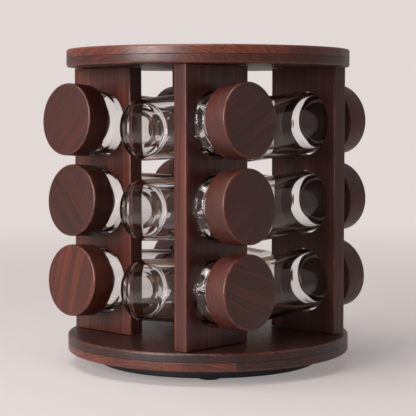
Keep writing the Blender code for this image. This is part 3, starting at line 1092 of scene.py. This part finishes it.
def lay_grain(mesh: bpy.types.Mesh, along: Vector, through: Vector, middle: Vector) -> None:
    """Cuts a mesh from its block of wood, by writing each point's place in the block.

    Args:
        mesh: The mesh, already in place.
        along: Direction of the fibres.
        through: Direction of the block's thickness.
        middle: The point that lies at the block's origin.
    """
    along = along.normalized()
    across = through.cross(along).normalized()
    through = along.cross(across)
    attribute = mesh.attributes.new(GRAIN, "FLOAT_VECTOR", "POINT")
    places: list[float] = []
    for vertex in mesh.vertices:
        place = vertex.co - middle
        places += (place.dot(along), place.dot(across), place.dot(through))
    attribute.data.foreach_set("vector", places)
    mark_edges(mesh)


def mark_edges(mesh: bpy.types.Mesh) -> None:
    """Writes the attribute that is 1 on the narrow facets of a rounded edge and 0 elsewhere, where the
    wood paints stain that has come off with use and a painted highlight.

    Args:
        mesh: The mesh, whose rounded edges turn by more than the least angle from facet to facet.
    """
    form = bmesh.new()
    form.from_mesh(mesh)
    worn_and_highlit = []
    for face in form.faces:
        turns = [edge.calc_face_angle(0.0) for edge in face.edges]
        worn_and_highlit.append(float(any(WEAR_AND_HIGHLIGHT_ANGLES[0] < turn < WEAR_AND_HIGHLIGHT_ANGLES[1] for turn in turns)))
    form.free()
    attribute = mesh.attributes.new(WEAR_AND_HIGHLIGHT, "FLOAT", "FACE")
    attribute.data.foreach_set("value", worn_and_highlit)


def settle(name: str, mesh: bpy.types.Mesh, body: str, slot: str, *nodes: str) -> bpy.types.Object:
    """Makes a finished piece: shaded, riding on its body and standing for its nodes.

    Args:
        name: The piece's name.
        mesh: Its mesh, in place.
        body: The body that it moves with.
        slot: The record's material slot; not used.
        nodes: The model's nodes that it stands for.

    Returns:
        The piece.
    """
    mesh.shade_smooth()
    mesh.set_sharp_from_angle(angle=SHARP_ANGLE)
    piece = linked(name, mesh)
    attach(piece, body)
    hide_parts(*nodes)
    log.info("%s: %d faces, rides on %s", name, len(mesh.polygons), body)
    return piece


def slide_direction(joint: str) -> Vector:
    """Reads the direction of one of the model's sliding joints.

    Args:
        joint: The joint's name.

    Returns:
        A unit vector.
    """
    stated = {entry["name"]: entry for entry in frame["record"]["behaviour"]["joints"]}
    return Vector(stated[joint]["axis"]).normalized()


def node_span(node: str, direction: Vector) -> tuple[float, float]:
    """Measures one of the model's nodes along a direction.

    Args:
        node: The node's name.
        direction: A unit vector.

    Returns:
        The lowest and the highest distance along the direction.
    """
    reaches = [vertex.co.dot(direction) for vertex in frame["nodes"][node].data.vertices]
    return min(reaches), max(reaches)


def along_axis(direction: Vector, start: Vector) -> Matrix:
    """Finds the placement that takes Z to a direction and the origin to a point, with X kept level.

    Args:
        direction: A unit vector.
        start: The point.

    Returns:
        The placement.
    """
    level = UP.cross(direction)
    level = level.normalized() if level.length > 0.5 else Vector((1.0, 0.0, 0.0))
    turn = Matrix((level, direction.cross(level), direction)).transposed()
    return Matrix.Translation(start) @ turn.to_4x4()


# ---------------------------------------------------------------------------------------------
# Sub-assemblies
# ---------------------------------------------------------------------------------------------


@dataclass
class Plate:
    """One of the rack's two round plates, glued up from two plies of staves.

    Args:
        node: The model's node.
        finish: Its wood.
        grain_angle: Angle of the fibres from X.
        rim_rounding: Radius of the rim's rounded edges.
        groove_depth: Depth of the fine groove between the plies.
        groove_half: Half the groove's width.
        segments: Facets around the axis.
    """

    node: str
    finish: StainedWood
    grain_angle: float
    rim_rounding: float = 1.3 * MM
    groove_depth: float = 0.18 * MM
    groove_half: float = 0.22 * MM
    segments: int = 180

    def build(self) -> bpy.types.Object:
        """Turns the plate, with the fine groove that shows between its plies.

        Returns:
            The plate.
        """
        low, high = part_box(self.node)
        radius = (high.x - low.x) / 2
        middle = (high.z + low.z) / 2
        corners: Corners = [
            (0.0, high.z, 0.0),
            (radius / 2, high.z, 0.0),
            (radius, high.z, self.rim_rounding),
            (radius, middle + self.groove_half, 0.0),
            (radius - self.groove_depth, middle, 0.0),
            (radius, middle - self.groove_half, 0.0),
            (radius, low.z, self.rim_rounding),
            (radius / 2, low.z, 0.0),
            (0.0, low.z, 0.0),
        ]
        mesh = turned_mesh(self.node, rounded(corners), self.segments, self.finish.material())
        along = Vector((math.cos(self.grain_angle), math.sin(self.grain_angle), 0.0))
        lay_grain(mesh, along, UP, Vector((0.0, 0.0, middle)))
        return settle(f"{self.node}_wood", mesh, "carousel", "rack_wood", self.node)


@dataclass
class Board:
    """An upright board with three round holes.

    Args:
        side: The side that it stands on.
        finish: Its wood.
        hole_radius: Radius of the holes.
        edge: Rounding of all edges.
        edge_steps: Facets in the rounding.
        hole_points: Points in a quarter of a hole.
    """

    side: Side
    finish: StainedWood
    hole_radius: float = 20.5 * MM
    edge: float = 0.8 * MM
    edge_steps: int = 4
    hole_points: int = 24

    def outline(self, width: float, height: float, rows: Sequence[float]) -> bpy.types.Curve:
        """Draws the board's flat outline and its holes, drawn in by the rounding of its edges.

        Args:
            width: The board's width.
            height: The board's height.
            rows: Heights of the holes above the board's middle.

        Returns:
            A filled flat curve, which build thickens to half the board on each side.
        """
        curve = bpy.data.curves.new(f"board_{self.side.label}", "CURVE")
        curve.dimensions = "2D"
        curve.fill_mode = "BOTH"
        half_width, half_height = width / 2 - self.edge, height / 2 - self.edge
        turns = [(-1, -1), (1, -1), (1, 1), (-1, 1)]
        loops = [[(x * half_width, y * half_height) for x, y in turns]]
        radius = self.hole_radius + self.edge
        count = self.hole_points * 4
        angles = [-math.tau * index / count for index in range(count)]
        for row in rows:
            loops.append([(radius * math.cos(turn), row + radius * math.sin(turn)) for turn in angles])
        for loop in loops:
            spline = curve.splines.new("POLY")
            spline.points.add(len(loop) - 1)
            for point, (x, y) in zip(spline.points, loop):
                point.co = (x, y, 0.0, 1.0)
            spline.use_cyclic_u = True
        return curve

    def hole_height(self, row: Row, middle: Vector) -> float:
        """Finds where a jar's slide crosses the board.

        Args:
            row: The jar's row.
            middle: The board's middle.

        Returns:
            The hole's height above the board's middle.
        """
        jar = f"{self.side.label}_{row.value}"
        jar_low, jar_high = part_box(f"jar_{jar}")
        jar_middle = (jar_low + jar_high) / 2
        slope = slide_direction(f"jar_slide_{jar}")
        outwards = self.side.outwards
        reach = (middle - jar_middle).dot(outwards) / slope.dot(outwards)
        return jar_middle.z + slope.z * reach - middle.z

    def build(self) -> bpy.types.Object:
        """Fills the outline, rounds its edges and stands the board in place.

        Returns:
            The board.
        """
        node = f"board_{self.side.label}"
        low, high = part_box(node)
        middle = (low + high) / 2
        size = high - low
        thickness = min(size.x, size.y)
        outwards = self.side.outwards
        rows = [self.hole_height(row, middle) for row in Row]
        curve = self.outline(max(size.x, size.y), size.z, rows)
        curve.extrude = thickness / 2 - self.edge
        curve.bevel_depth = self.edge
        curve.bevel_resolution = self.edge_steps
        shape = linked(node, curve)
        graph = bpy.context.evaluated_depsgraph_get()
        mesh = bpy.data.meshes.new_from_object(shape.evaluated_get(graph))
        bpy.data.objects.remove(shape, do_unlink=True)
        face_outwards(mesh)
        mesh.transform(along_axis(outwards, middle))
        mesh.materials.clear()
        mesh.materials.append(self.finish.material())
        # The block's origin lies behind the board, so that the board is all one ply
        lay_grain(mesh, UP, outwards, middle - outwards * thickness)
        return settle(f"{node}_wood", mesh, "carousel", "rack_wood", node)


@dataclass
class SpiceJar:
    """A glass jar with its turned wooden lid and ribbed silicone seal.

    Args:
        side: The side that its board stands on.
        row: Its row on the board.
        lid_finish: The lid's wood.
        lid_grain_angle: Angle of the lid's fibres from the level.
        glass: The jar's material.
        silicone: The seal's material.
        wall: Thickness of the glass.
        floor: Height of the inside above the heel.
        floor_rise: How far the floor rises at its own corner and at the wall.
        floor_share: Where the floor's corner lies, as a share of the inner radius.
        neck_radius: Outer radius of the neck.
        shoulder_start: Height of the body's end.
        shoulder_end: Height of the neck's start.
        shoulder_rounding: Rounding of the neck's start and of the body's end.
        inner_rounding: Rounding of the floor's corner, the floor at the wall and the inner shoulder.
        heel: Rounding of the heel.
        punt: Depth of the hollow under the bottom.
        punt_shares: The hollow's outer and inner radius, as shares of the jar's.
        punt_rounding: Rounding of the two.
        rim_share: Rounding of the rim, as a share of the wall.
        ripple: Height of the ripple inside.
        ripple_scale: Scale of the ripple.
        ripple_share: Least share of the wall that stays whole under the ripple.
        plug_length: Length of the lid's plug.
        plug_radius: Radius of the lid's plug.
        plug_rounding: Rounding of the plug's end.
        lid_rounding: Rounding of the lid's outer edge.
        lid_under_share: Rounding of the lid's inner edge, as a share of the outer edge's.
        seal_gap: Gap between the plug and the seal.
        rib_height: Height of the seal's ribs.
        ribs: Number of ribs.
        rib_steps: Facets along a rib.
        segments: Facets around the axis.
    """

    side: Side
    row: Row
    lid_finish: StainedWood
    lid_grain_angle: float
    glass: bpy.types.Material
    silicone: bpy.types.Material
    wall: float = 2.3 * MM
    floor: float = 3.5 * MM
    floor_rise: tuple[float, float] = (0.2 * MM, 1.0 * MM)
    floor_share: float = 0.7
    neck_radius: float = 17.0 * MM
    shoulder_start: float = 67.5 * MM
    shoulder_end: float = 71.5 * MM
    shoulder_rounding: tuple[float, float] = (2.0 * MM, 3.2 * MM)
    inner_rounding: tuple[float, float, float] = (6.0 * MM, 3.6 * MM, 3.0 * MM)
    heel: float = 3.0 * MM
    punt: float = 1.1 * MM
    punt_shares: tuple[float, float] = (0.62, 0.45)
    punt_rounding: tuple[float, float] = (2.0 * MM, 3.0 * MM)
    rim_share: float = 0.42
    ripple: float = 0.16 * MM
    ripple_scale: float = 95.0
    ripple_share: float = 0.6
    plug_length: float = 9.5 * MM
    plug_radius: float = 12.4 * MM
    plug_rounding: float = 0.6 * MM
    lid_rounding: float = 1.1 * MM
    lid_under_share: float = 0.8
    seal_gap: float = 0.05 * MM
    rib_height: float = 0.55 * MM
    ribs: int = 3
    rib_steps: int = 12
    segments: int = 96

    @property
    def tag(self) -> str:
        """The jar's place in node names."""
        return f"{self.side.label}_{self.row.value}"

    @property
    def outwards(self) -> Vector:
        """The direction that the jar slides out in, along its own length."""
        return slide_direction(f"jar_slide_{self.tag}")

    def placement(self, node: str) -> tuple[Matrix, float, float]:
        """Finds where a turned node stands.

        Args:
            node: A node turned about the jar's axis.

        Returns:
            The placement of its inner end, its length and its largest radius.
        """
        turn = along_axis(self.outwards, Vector()).to_3x3()
        spans = [node_span(node, direction) for direction in turn.transposed()]
        start = turn @ Vector((sum(spans[0]) / 2, sum(spans[1]) / 2, spans[2][0]))
        length = spans[2][1] - spans[2][0]
        return Matrix.Translation(start) @ turn.to_4x4(), length, (spans[0][1] - spans[0][0]) / 2

    def glass_profile(self, radius: float, length: float) -> Profile:
        """Draws the jar's section: the outside from the rim down, the inside back up to the rim.

        Args:
            radius: The jar's outer radius.
            length: The jar's length.

        Returns:
            The section's points.
        """
        wall = self.wall
        inner, mouth = radius - wall, self.neck_radius - wall
        rim_middle = self.neck_radius - wall / 2
        neck_start, body_end = self.shoulder_rounding
        corners: Corners = [
            (rim_middle, length, 0.0),
            (self.neck_radius, length, wall * self.rim_share),
            (self.neck_radius, self.shoulder_end, neck_start),
            (radius, self.shoulder_start, body_end),
            (radius, 0.0, self.heel),
            (radius * self.punt_shares[0], 0.0, self.punt_rounding[0]),
            (radius * self.punt_shares[1], self.punt, self.punt_rounding[1]),
            (0.0, self.punt, 0.0),
            (0.0, self.floor, 0.0),
            (inner * self.floor_share, self.floor + self.floor_rise[0], self.inner_rounding[0]),
            (inner, self.floor + self.floor_rise[1], self.inner_rounding[1]),
            (inner, self.shoulder_start - wall / 2, self.inner_rounding[2]),
            (mouth, self.shoulder_end - wall / 2, neck_start),
            (mouth, length, wall * self.rim_share),
            (rim_middle, length, 0.0),
        ]
        return rounded(corners, steps=CORNER_STEPS + 1)

    def build_glass(self) -> bpy.types.Object:
        """Blows the jar, with the slight ripple inside that bends what is seen through it.

        Returns:
            The jar.
        """
        node = f"jar_{self.tag}"
        place, length, radius = self.placement(node)
        mesh = turned_mesh(node, self.glass_profile(radius, length), self.segments, self.glass)
        # A different ripple for each jar
        shift = Vector((self.side.value * 3.1, len(self.row.value) * 1.7, 0.0))
        inside = radius - self.wall * self.ripple_share
        for vertex in mesh.vertices:
            reach = Vector((vertex.co.x, vertex.co.y))
            upright = self.floor < vertex.co.z < self.shoulder_start
            if upright and radius / 2 < reach.length < inside:
                swell = noise.noise(vertex.co * self.ripple_scale + shift) * self.ripple
                vertex.co.x += swell * reach.x / reach.length
                vertex.co.y += swell * reach.y / reach.length
        mesh.transform(place)
        return settle(f"{node}_glass", mesh, node, "jar_glass", node)

    def build_lid(self) -> bpy.types.Object:
        """Turns the lid from one block, with its plug.

        Returns:
            The lid.
        """
        node = f"lid_{self.tag}"
        place, length, radius = self.placement(node)
        corners: Corners = [
            (0.0, length, 0.0),
            (radius / 2, length, 0.0),
            (radius, length, self.lid_rounding),
            (radius, self.plug_length, self.lid_rounding * self.lid_under_share),
            (self.plug_radius, self.plug_length, 0.0),
            (self.plug_radius, 0.0, self.plug_rounding),
            (0.0, 0.0, 0.0),
        ]
        mesh = turned_mesh(node, rounded(corners), self.segments, self.lid_finish.material())
        mesh.transform(place)
        outwards = self.outwards
        level = UP.cross(outwards).normalized()
        angle = self.lid_grain_angle
        along = level * math.cos(angle) + outwards.cross(level) * math.sin(angle)
        lay_grain(mesh, along, outwards, place.translation)
        return settle(f"{node}_wood", mesh, f"lid_{self.tag}", "lid_wood", node)

    def build_seal(self) -> bpy.types.Object:
        """Turns the seal, whose ribs press on the jar's mouth.

        Returns:
            The seal.
        """
        node = f"seal_{self.tag}"
        place, length, radius = self.placement(node)
        inner = self.plug_radius + self.seal_gap
        valley = radius - self.rib_height
        count = self.ribs * self.rib_steps
        profile: Profile = [(inner, length)]
        for index in range(count + 1):
            share = index / count
            swell = math.sin(share * self.ribs * math.pi) ** 2
            profile.append((valley + self.rib_height * swell, length * (1.0 - share)))
        profile += [(inner, 0.0), (inner, length)]
        mesh = turned_mesh(node, profile, self.segments, self.silicone)
        mesh.transform(place)
        return settle(f"{node}_ribbed", mesh, f"lid_{self.tag}", "seal_silicone", node)

    def build(self) -> None:
        """Builds the jar, the lid and the seal."""
        self.build_glass()
        self.build_lid()
        self.build_seal()


@dataclass
class TurningBase:
    """The black base with its feet and the ball race that the rack turns on.

    Args:
        plastic: The disc's material.
        rubber: The feet's material.
        steel: The race's material.
        rim_inner: Inner radius of the disc's rim.
        rim_rounding: Rounding of the disc's upper and lower outer edge.
        floor_height: Height of the recess's floor.
        boss_radius: Radius of the boss for the bolt.
        bore_radius: Radius of the bolt's hole.
        counterbore_radius: Radius of the hole for the bolt's head.
        seat_height: Height of the head's seat.
        boss_drop: How far the boss lies below the rim.
        edge_rounding: Rounding of the counterbore's and the boss's edge.
        bore_rounding: Rounding of the bore's edge.
        corner_rounding: Rounding of the recess's inner corners.
        foot_rounding: Rounding of a foot's upper and lower edge.
        foot_hollow: Depth of the hollow under a foot.
        foot_shares: The hollow's outer and inner radius, as shares of the foot's.
        foot_segments: Facets around a foot.
        balls: Number of balls.
        ball_circle: Radius of the balls' circle.
        cage_width: Width of the cage's ring.
        cage_thickness: Thickness of the cage's ring.
        cage_segments: Facets around the cage.
        segments: Facets around the disc.
    """

    plastic: bpy.types.Material
    rubber: bpy.types.Material
    steel: bpy.types.Material
    rim_inner: float = 54.0 * MM
    rim_rounding: tuple[float, float] = (1.4 * MM, 1.0 * MM)
    floor_height: float = 3.4 * MM
    boss_radius: float = 12.0 * MM
    bore_radius: float = 4.4 * MM
    counterbore_radius: float = 8.2 * MM
    seat_height: float = 4.6 * MM
    boss_drop: float = 0.5 * MM
    edge_rounding: float = 0.3 * MM
    bore_rounding: float = 0.2 * MM
    corner_rounding: float = 0.4 * MM
    foot_rounding: tuple[float, float] = (0.3 * MM, 0.6 * MM)
    foot_hollow: float = 0.25 * MM
    foot_shares: tuple[float, float] = (0.55, 0.45)
    foot_segments: int = 48
    balls: int = 10
    ball_circle: float = 42.0 * MM
    cage_width: float = 4.0 * MM
    cage_thickness: float = 1.0 * MM
    cage_segments: int = 96
    segments: int = 160

    def build_disc(self) -> bpy.types.Object:
        """Turns the base disc, with its recess for the race and its bored boss.

        Returns:
            The disc.
        """
        low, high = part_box("base_disc")
        radius = (high.x - low.x) / 2
        boss_top = high.z - self.boss_drop
        corners: Corners = [
            (self.rim_inner, high.z, 0.0),
            (radius, high.z, self.rim_rounding[0]),
            (radius, low.z, self.rim_rounding[1]),
            (self.counterbore_radius, low.z, self.edge_rounding),
            (self.counterbore_radius, self.seat_height, 0.0),
            (self.bore_radius, self.seat_height, 0.0),
            (self.bore_radius, boss_top, self.bore_rounding),
            (self.boss_radius, boss_top, self.edge_rounding),
            (self.boss_radius, self.floor_height, self.corner_rounding),
            (self.rim_inner, self.floor_height, self.corner_rounding),
            (self.rim_inner, high.z, 0.0),
        ]
        mesh = turned_mesh("base_disc", rounded(corners), self.segments, self.plastic)
        return settle("base_disc_moulded", mesh, "base", "base_plastic", "base_disc")

    def build_feet(self) -> None:
        """Turns the four rubber feet, each with a shallow hollow underneath."""
        for number in range(1, 5):
            node = f"foot_{number}"
            low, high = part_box(node)
            radius = (high.x - low.x) / 2
            hollow = low.z + self.foot_hollow
            corners: Corners = [
                (0.0, high.z, 0.0),
                (radius, high.z, self.foot_rounding[0]),
                (radius, low.z, self.foot_rounding[1]),
                (radius * self.foot_shares[0], low.z, 0.0),
                (radius * self.foot_shares[1], hollow, 0.0),
                (0.0, hollow, 0.0),
            ]
            mesh = turned_mesh(node, rounded(corners), self.foot_segments, self.rubber)
            mesh.transform(Matrix.Translation(((low.x + high.x) / 2, (low.y + high.y) / 2, 0.0)))
            settle(f"{node}_rubber", mesh, "base", "foot_rubber", node)

    def build_cage(self) -> bpy.types.Object:
        """Strings the balls on their cage.

        Returns:
            The cage with its balls.
        """
        low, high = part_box("ball_cage")
        middle = (low.z + high.z) / 2
        inner = self.ball_circle - self.cage_width / 2
        outer = self.ball_circle + self.cage_width / 2
        half = self.cage_thickness / 2
        ring = [(outer, half), (outer, -half), (inner, -half), (inner, half), (outer, half)]
        cage = linked("ball_cage", turned_mesh("ball_cage", ring, self.cage_segments, self.steel))
        mesh = run_tree(
            cage,
            BALL_RING,
            Balls=self.balls,
            Circle_Radius=self.ball_circle,
            Ball_Radius=(high.z - low.z) / 2,
            Finish=self.steel,
        )
        mesh.transform(Matrix.Translation((0.0, 0.0, middle)))
        return settle("ball_cage_balls", mesh, "ball_cage", "bearing_steel", "ball_cage")

    def build(self) -> None:
        """Builds the base from the feet up."""
        self.build_feet()
        self.build_disc()
        self.build_cage()
        for node in ("lower_race", "upper_race"):
            dress_node(node, self.steel)


def dress_node(node: str, material: bpy.types.Material) -> None:
    """Gives one of the model's own nodes a better material.

    Args:
        node: The node's name.
        material: The material.
    """
    mesh = frame["nodes"][node].data
    mesh.materials.clear()
    mesh.materials.append(material)
    log.info("%s: kept, dressed in %s", node, material.name)


@dataclass
class Fixings:
    """What holds the rack together: screws, dowels and the pivot bolt.

    Args:
        steel: The material of the screws and the bolt.
        beech: The material of the dowels.
    """

    steel: bpy.types.Material
    beech: bpy.types.Material

    def build(self) -> None:
        """Dresses the fixings, which stay as they are in the model."""
        dress_node("pivot_bolt", self.steel)
        for side in Side:
            dress_node(f"screw_{side.label}", self.steel)
            dress_node(f"dowel_{side.label}", self.beech)


@dataclass(frozen=True)
class Softbox:
    """A square soft light that faces the object.

    Args:
        name: The light's name.
        turn: Its angle from the camera, in degrees, positive to the right.
        rise: Its angle above the floor, in degrees.
        away: Its distance from the object.
        size: Its side.
        power: Its power in watts.
    """

    name: str
    turn: float
    rise: float
    away: float
    size: float
    power: float


KEY = Softbox("key_softbox", turn=-44.0, rise=16.0, away=1.2, size=0.6, power=12.5)
OVERHEAD = Softbox("top_softbox", turn=-60.0, rise=74.0, away=1.4, size=0.9, power=12.0)


@dataclass
class Studio:
    """A pale floor, soft light from the left and a long lens.

    Args:
        softboxes: The lights.
        backdrop: Colour of the backdrop and the floor.
        fill: The backdrop's share in scattered light.
        mirrored: The backdrop's share in reflections.
        timber_glow: Colour that the backdrop gives to light that glass has turned back inside itself, a
            painted reflection of the timber around it.
        azimuth: The camera's angle from the front.
        distance: The camera's distance from the axis.
        height: The camera's height.
        aim: The point that the camera and the lights face.
        lens: The focal length.
        clip: The nearest and farthest distance that the camera sees.
        floor_radius: Radius of the floor.
        floor_roughness: Roughness of the floor.
        floor_specular: Strength of the floor's sheen.
        floor_fade: Distances between which the floor fades into the backdrop.
        floor_shares: The backdrop's share in the floor at the two distances.
    """

    softboxes: tuple[Softbox, ...] = (KEY, OVERHEAD)
    backdrop: Colour = (0.760, 0.695, 0.678)
    fill: float = 0.20
    mirrored: float = 0.44
    timber_glow: Colour = (0.200, 0.118, 0.086)
    azimuth: float = math.radians(44.2)
    distance: float = 0.905
    height: float = 0.162
    aim: Vector = field(default_factory=lambda: Vector((0.0, 0.0, 0.099)))
    lens: float = 122.0
    clip: tuple[float, float] = (0.01, 200.0)
    floor_radius: float = 40.0
    floor_roughness: float = 0.85
    floor_specular: float = 0.2
    floor_fade: tuple[float, float] = (0.08, 1.2)
    floor_shares: tuple[float, float] = (0.35, 1.0)

    def direction(self, turn: float, rise: float) -> Vector:
        """Finds a direction from the object.

        Args:
            turn: Its angle from the camera, in degrees, positive to the right.
            rise: Its angle above the floor, in degrees.

        Returns:
            A unit vector.
        """
        angle = self.azimuth + math.radians(turn)
        lift = math.radians(rise)
        flat = math.cos(lift)
        return Vector((math.sin(angle) * flat, -math.cos(angle) * flat, math.sin(lift)))

    def build_camera(self) -> None:
        """Stands the camera where the object's sides are seen at their true angle."""
        camera = linked("camera", bpy.data.cameras.new("camera"))
        camera.data.lens = self.lens
        camera.data.sensor_width = SENSOR_WIDTH
        flat = Vector((math.sin(self.azimuth), -math.cos(self.azimuth), 0.0)) * self.distance
        camera.location = flat + UP * self.height
        camera.rotation_euler = (self.aim - camera.location).to_track_quat("-Z", "Y").to_euler()
        camera.data.clip_start, camera.data.clip_end = self.clip
        bpy.context.scene.camera = camera

    def hang(self, softbox: Softbox) -> None:
        """Hangs a soft light.

        Args:
            softbox: Its sizes and place.
        """
        light = bpy.data.lights.new(softbox.name, "AREA")
        light.shape = "SQUARE"
        light.size = softbox.size
        light.energy = softbox.power
        lamp = linked(softbox.name, light)
        lamp.location = self.aim + self.direction(softbox.turn, softbox.rise) * softbox.away
        lamp.rotation_euler = (self.aim - lamp.location).to_track_quat("-Z", "Y").to_euler()

    def light_backdrop(self, wiring: Wiring, source: bpy.types.Node) -> None:
        """Sets a source to the backdrop where it is seen, and to less where it only gives light.

        Light that glass has turned back inside itself gets a painted reflection of the timber around
        it, a brown colour from the backdrop.

        Args:
            wiring: The wiring of the source's tree.
            source: The background or emission node.
        """
        path = wiring.add("ShaderNodeLightPath")
        glossy, through_glass = path.outputs["Glossy Depth"], path.outputs["Transmission Depth"]
        scattered = wiring.maths("GREATER_THAN", path.outputs["Diffuse Depth"], 0.5)
        bounced = wiring.maths("MAXIMUM", scattered, wiring.maths("GREATER_THAN", glossy, 0.5))
        # Paths that glass has turned back inside itself see a painted brown reflection of the timber
        inside = wiring.maths("MULTIPLY", wiring.maths("GREATER_THAN", through_glass, 0.5), bounced)
        inside = wiring.maths("MULTIPLY", inside, wiring.maths("SUBTRACT", 1.0, scattered))
        dimmed = tuple(part * self.fill for part in self.backdrop)
        mirrored = tuple(part * self.mirrored for part in self.backdrop)
        colour = wiring.blend(scattered, mirrored, dimmed)
        colour = wiring.blend(inside, colour, self.timber_glow)
        colour = wiring.blend(bounced, self.backdrop, colour)
        wiring.feed(source.inputs["Color"], colour)

    def build_floor(self) -> None:
        """Lays a floor that fades into the backdrop with distance."""
        material, wiring, shader = new_material("studio_floor")
        shader.inputs["Base Color"].default_value = (*self.backdrop, 1.0)
        shader.inputs["Roughness"].default_value = self.floor_roughness
        shader.inputs["Specular IOR Level"].default_value = self.floor_specular
        place = wiring.add("ShaderNodeTexCoord")
        far = wiring.add("ShaderNodeVectorMath", operation="LENGTH")
        wiring.feed(far.inputs[0], place.outputs["Object"])
        glow = wiring.add("ShaderNodeEmission")
        self.light_backdrop(wiring, glow)
        mixed = wiring.add("ShaderNodeMixShader")
        faded = wiring.spread(far.outputs["Value"], *self.floor_fade, *self.floor_shares)
        wiring.feed(mixed.inputs[0], faded)
        wiring.feed(mixed.inputs[1], shader.outputs[0])
        wiring.feed(mixed.inputs[2], glow.outputs[0])
        surface = material.node_tree.nodes["Material Output"].inputs["Surface"]
        wiring.feed(surface, mixed.outputs[0])
        form = bmesh.new()
        bmesh.ops.create_circle(form, cap_ends=True, segments=96, radius=self.floor_radius)
        mesh = bpy.data.meshes.new("studio_floor")
        form.to_mesh(mesh)
        form.free()
        mesh.materials.append(material)
        linked("studio_floor", mesh)

    def build(self) -> None:
        """Sets up the backdrop, the lights and the camera."""
        scene = bpy.context.scene
        scene.view_settings.view_transform = "Standard"
        world = bpy.data.worlds.new("studio_world")
        world.use_nodes = True
        back = world.node_tree.nodes["Background"]
        self.light_backdrop(Wiring(world.node_tree), back)
        scene.world = world
        self.build_floor()
        self.build_camera()
        for softbox in self.softboxes:
            self.hang(softbox)
        log.info("studio: floor, backdrop, %d softboxes and a camera", len(self.softboxes))


@dataclass
class Carousel:
    """The whole rack, from its base to its jars.

    Args:
        rack_tones: Each board's tone and seed.
        lid_angles: Angles of the lids' fibres from the level, in degrees, from the top row down.
        lid_tones: The lids' tones, from the top row down.
        lid_contrast: Strength of the lids' figure.
        plate_angles: Angles of the upper and lower plate's fibres from X, in degrees.
        seed_step: How far apart the seeds of a board and its lids are.
    """

    rack_tones: dict[Side, tuple[float, float]] = field(
        default_factory=lambda: {
            Side.FRONT: (0.0, 3.0),
            Side.RIGHT: (0.02, 7.0),
            Side.BACK: (-0.05, 11.0),
            Side.LEFT: (0.0, 15.0),
        }
    )
    lid_angles: dict[Side, tuple[float, float, float]] = field(
        default_factory=lambda: {
            Side.FRONT: (42.0, -48.0, 80.0),
            Side.RIGHT: (28.0, 35.0, -20.0),
            Side.BACK: (10.0, 120.0, 65.0),
            Side.LEFT: (-35.0, 15.0, 95.0),
        }
    )
    lid_tones: dict[Side, tuple[float, float, float]] = field(
        default_factory=lambda: {
            Side.FRONT: (-0.22, -0.24, 0.03),
            Side.RIGHT: (-0.06, -0.06, -0.05),
            Side.BACK: (0.05, -0.05, 0.0),
            Side.LEFT: (0.0, 0.10, -0.05),
        }
    )
    lid_contrast: float = 0.45
    plate_angles: tuple[float, float] = (-30.0, -35.1)
    seed_step: float = 1.37

    def build_plates(self) -> None:
        """Builds the two plates."""
        plies = {"tone_spread": 0.14, "stave_width": 41.9 * MM}
        upper = StainedWood("upper_plate_wood", seed=21.0, tone=0.03, ply_step=0.12, **plies)
        lower = StainedWood(
            "lower_plate_wood", seed=34.0, tone=-0.24, ply_step=-0.16, joint_step=0.22, **plies
        )
        upper_angle, lower_angle = self.plate_angles
        Plate("upper_plate", upper, math.radians(upper_angle)).build()
        Plate("lower_plate", lower, math.radians(lower_angle)).build()

    def build_sides(self) -> None:
        """Builds each side's board and its three jars."""
        glass = ClearGlass("jar_glass").material()
        silicone = Moulded("seal_silicone", (0.80, 0.80, 0.79), 0.42, subsurface=0.3).material()
        for side in Side:
            tone, seed = self.rack_tones[side]
            Board(side, StainedWood(f"board_{side.label}_wood", seed, tone)).build()
            for row, angle, lid_tone in zip(Row, self.lid_angles[side], self.lid_tones[side]):
                seed += self.seed_step
                name = f"lid_{side.label}_{row.value}_wood"
                finish = StainedWood(name, seed, lid_tone, self.lid_contrast)
                SpiceJar(side, row, finish, math.radians(angle), glass, silicone).build()

    def build(self) -> None:
        """Builds every piece, from the floor up."""
        steel = PlatedSteel("plated_steel").material()
        plastic = Moulded("base_plastic", (0.010, 0.010, 0.011), 0.36).material()
        rubber = Moulded("foot_rubber", (0.016, 0.016, 0.017), 0.80, skin_scale=900.0).material()
        TurningBase(plastic, rubber, steel).build()
        Fixings(steel, PlainBeech("dowel_beech").material()).build()
        self.build_plates()
        self.build_sides()


def main() -> None:
    """Builds the carousel and its studio."""
    logging.basicConfig(level=logging.INFO, format="%(name)s: %(message)s")
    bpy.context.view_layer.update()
    Carousel().build()
    Studio().build()
    bpy.context.view_layer.update()


if __name__ == "__main__":
    main()
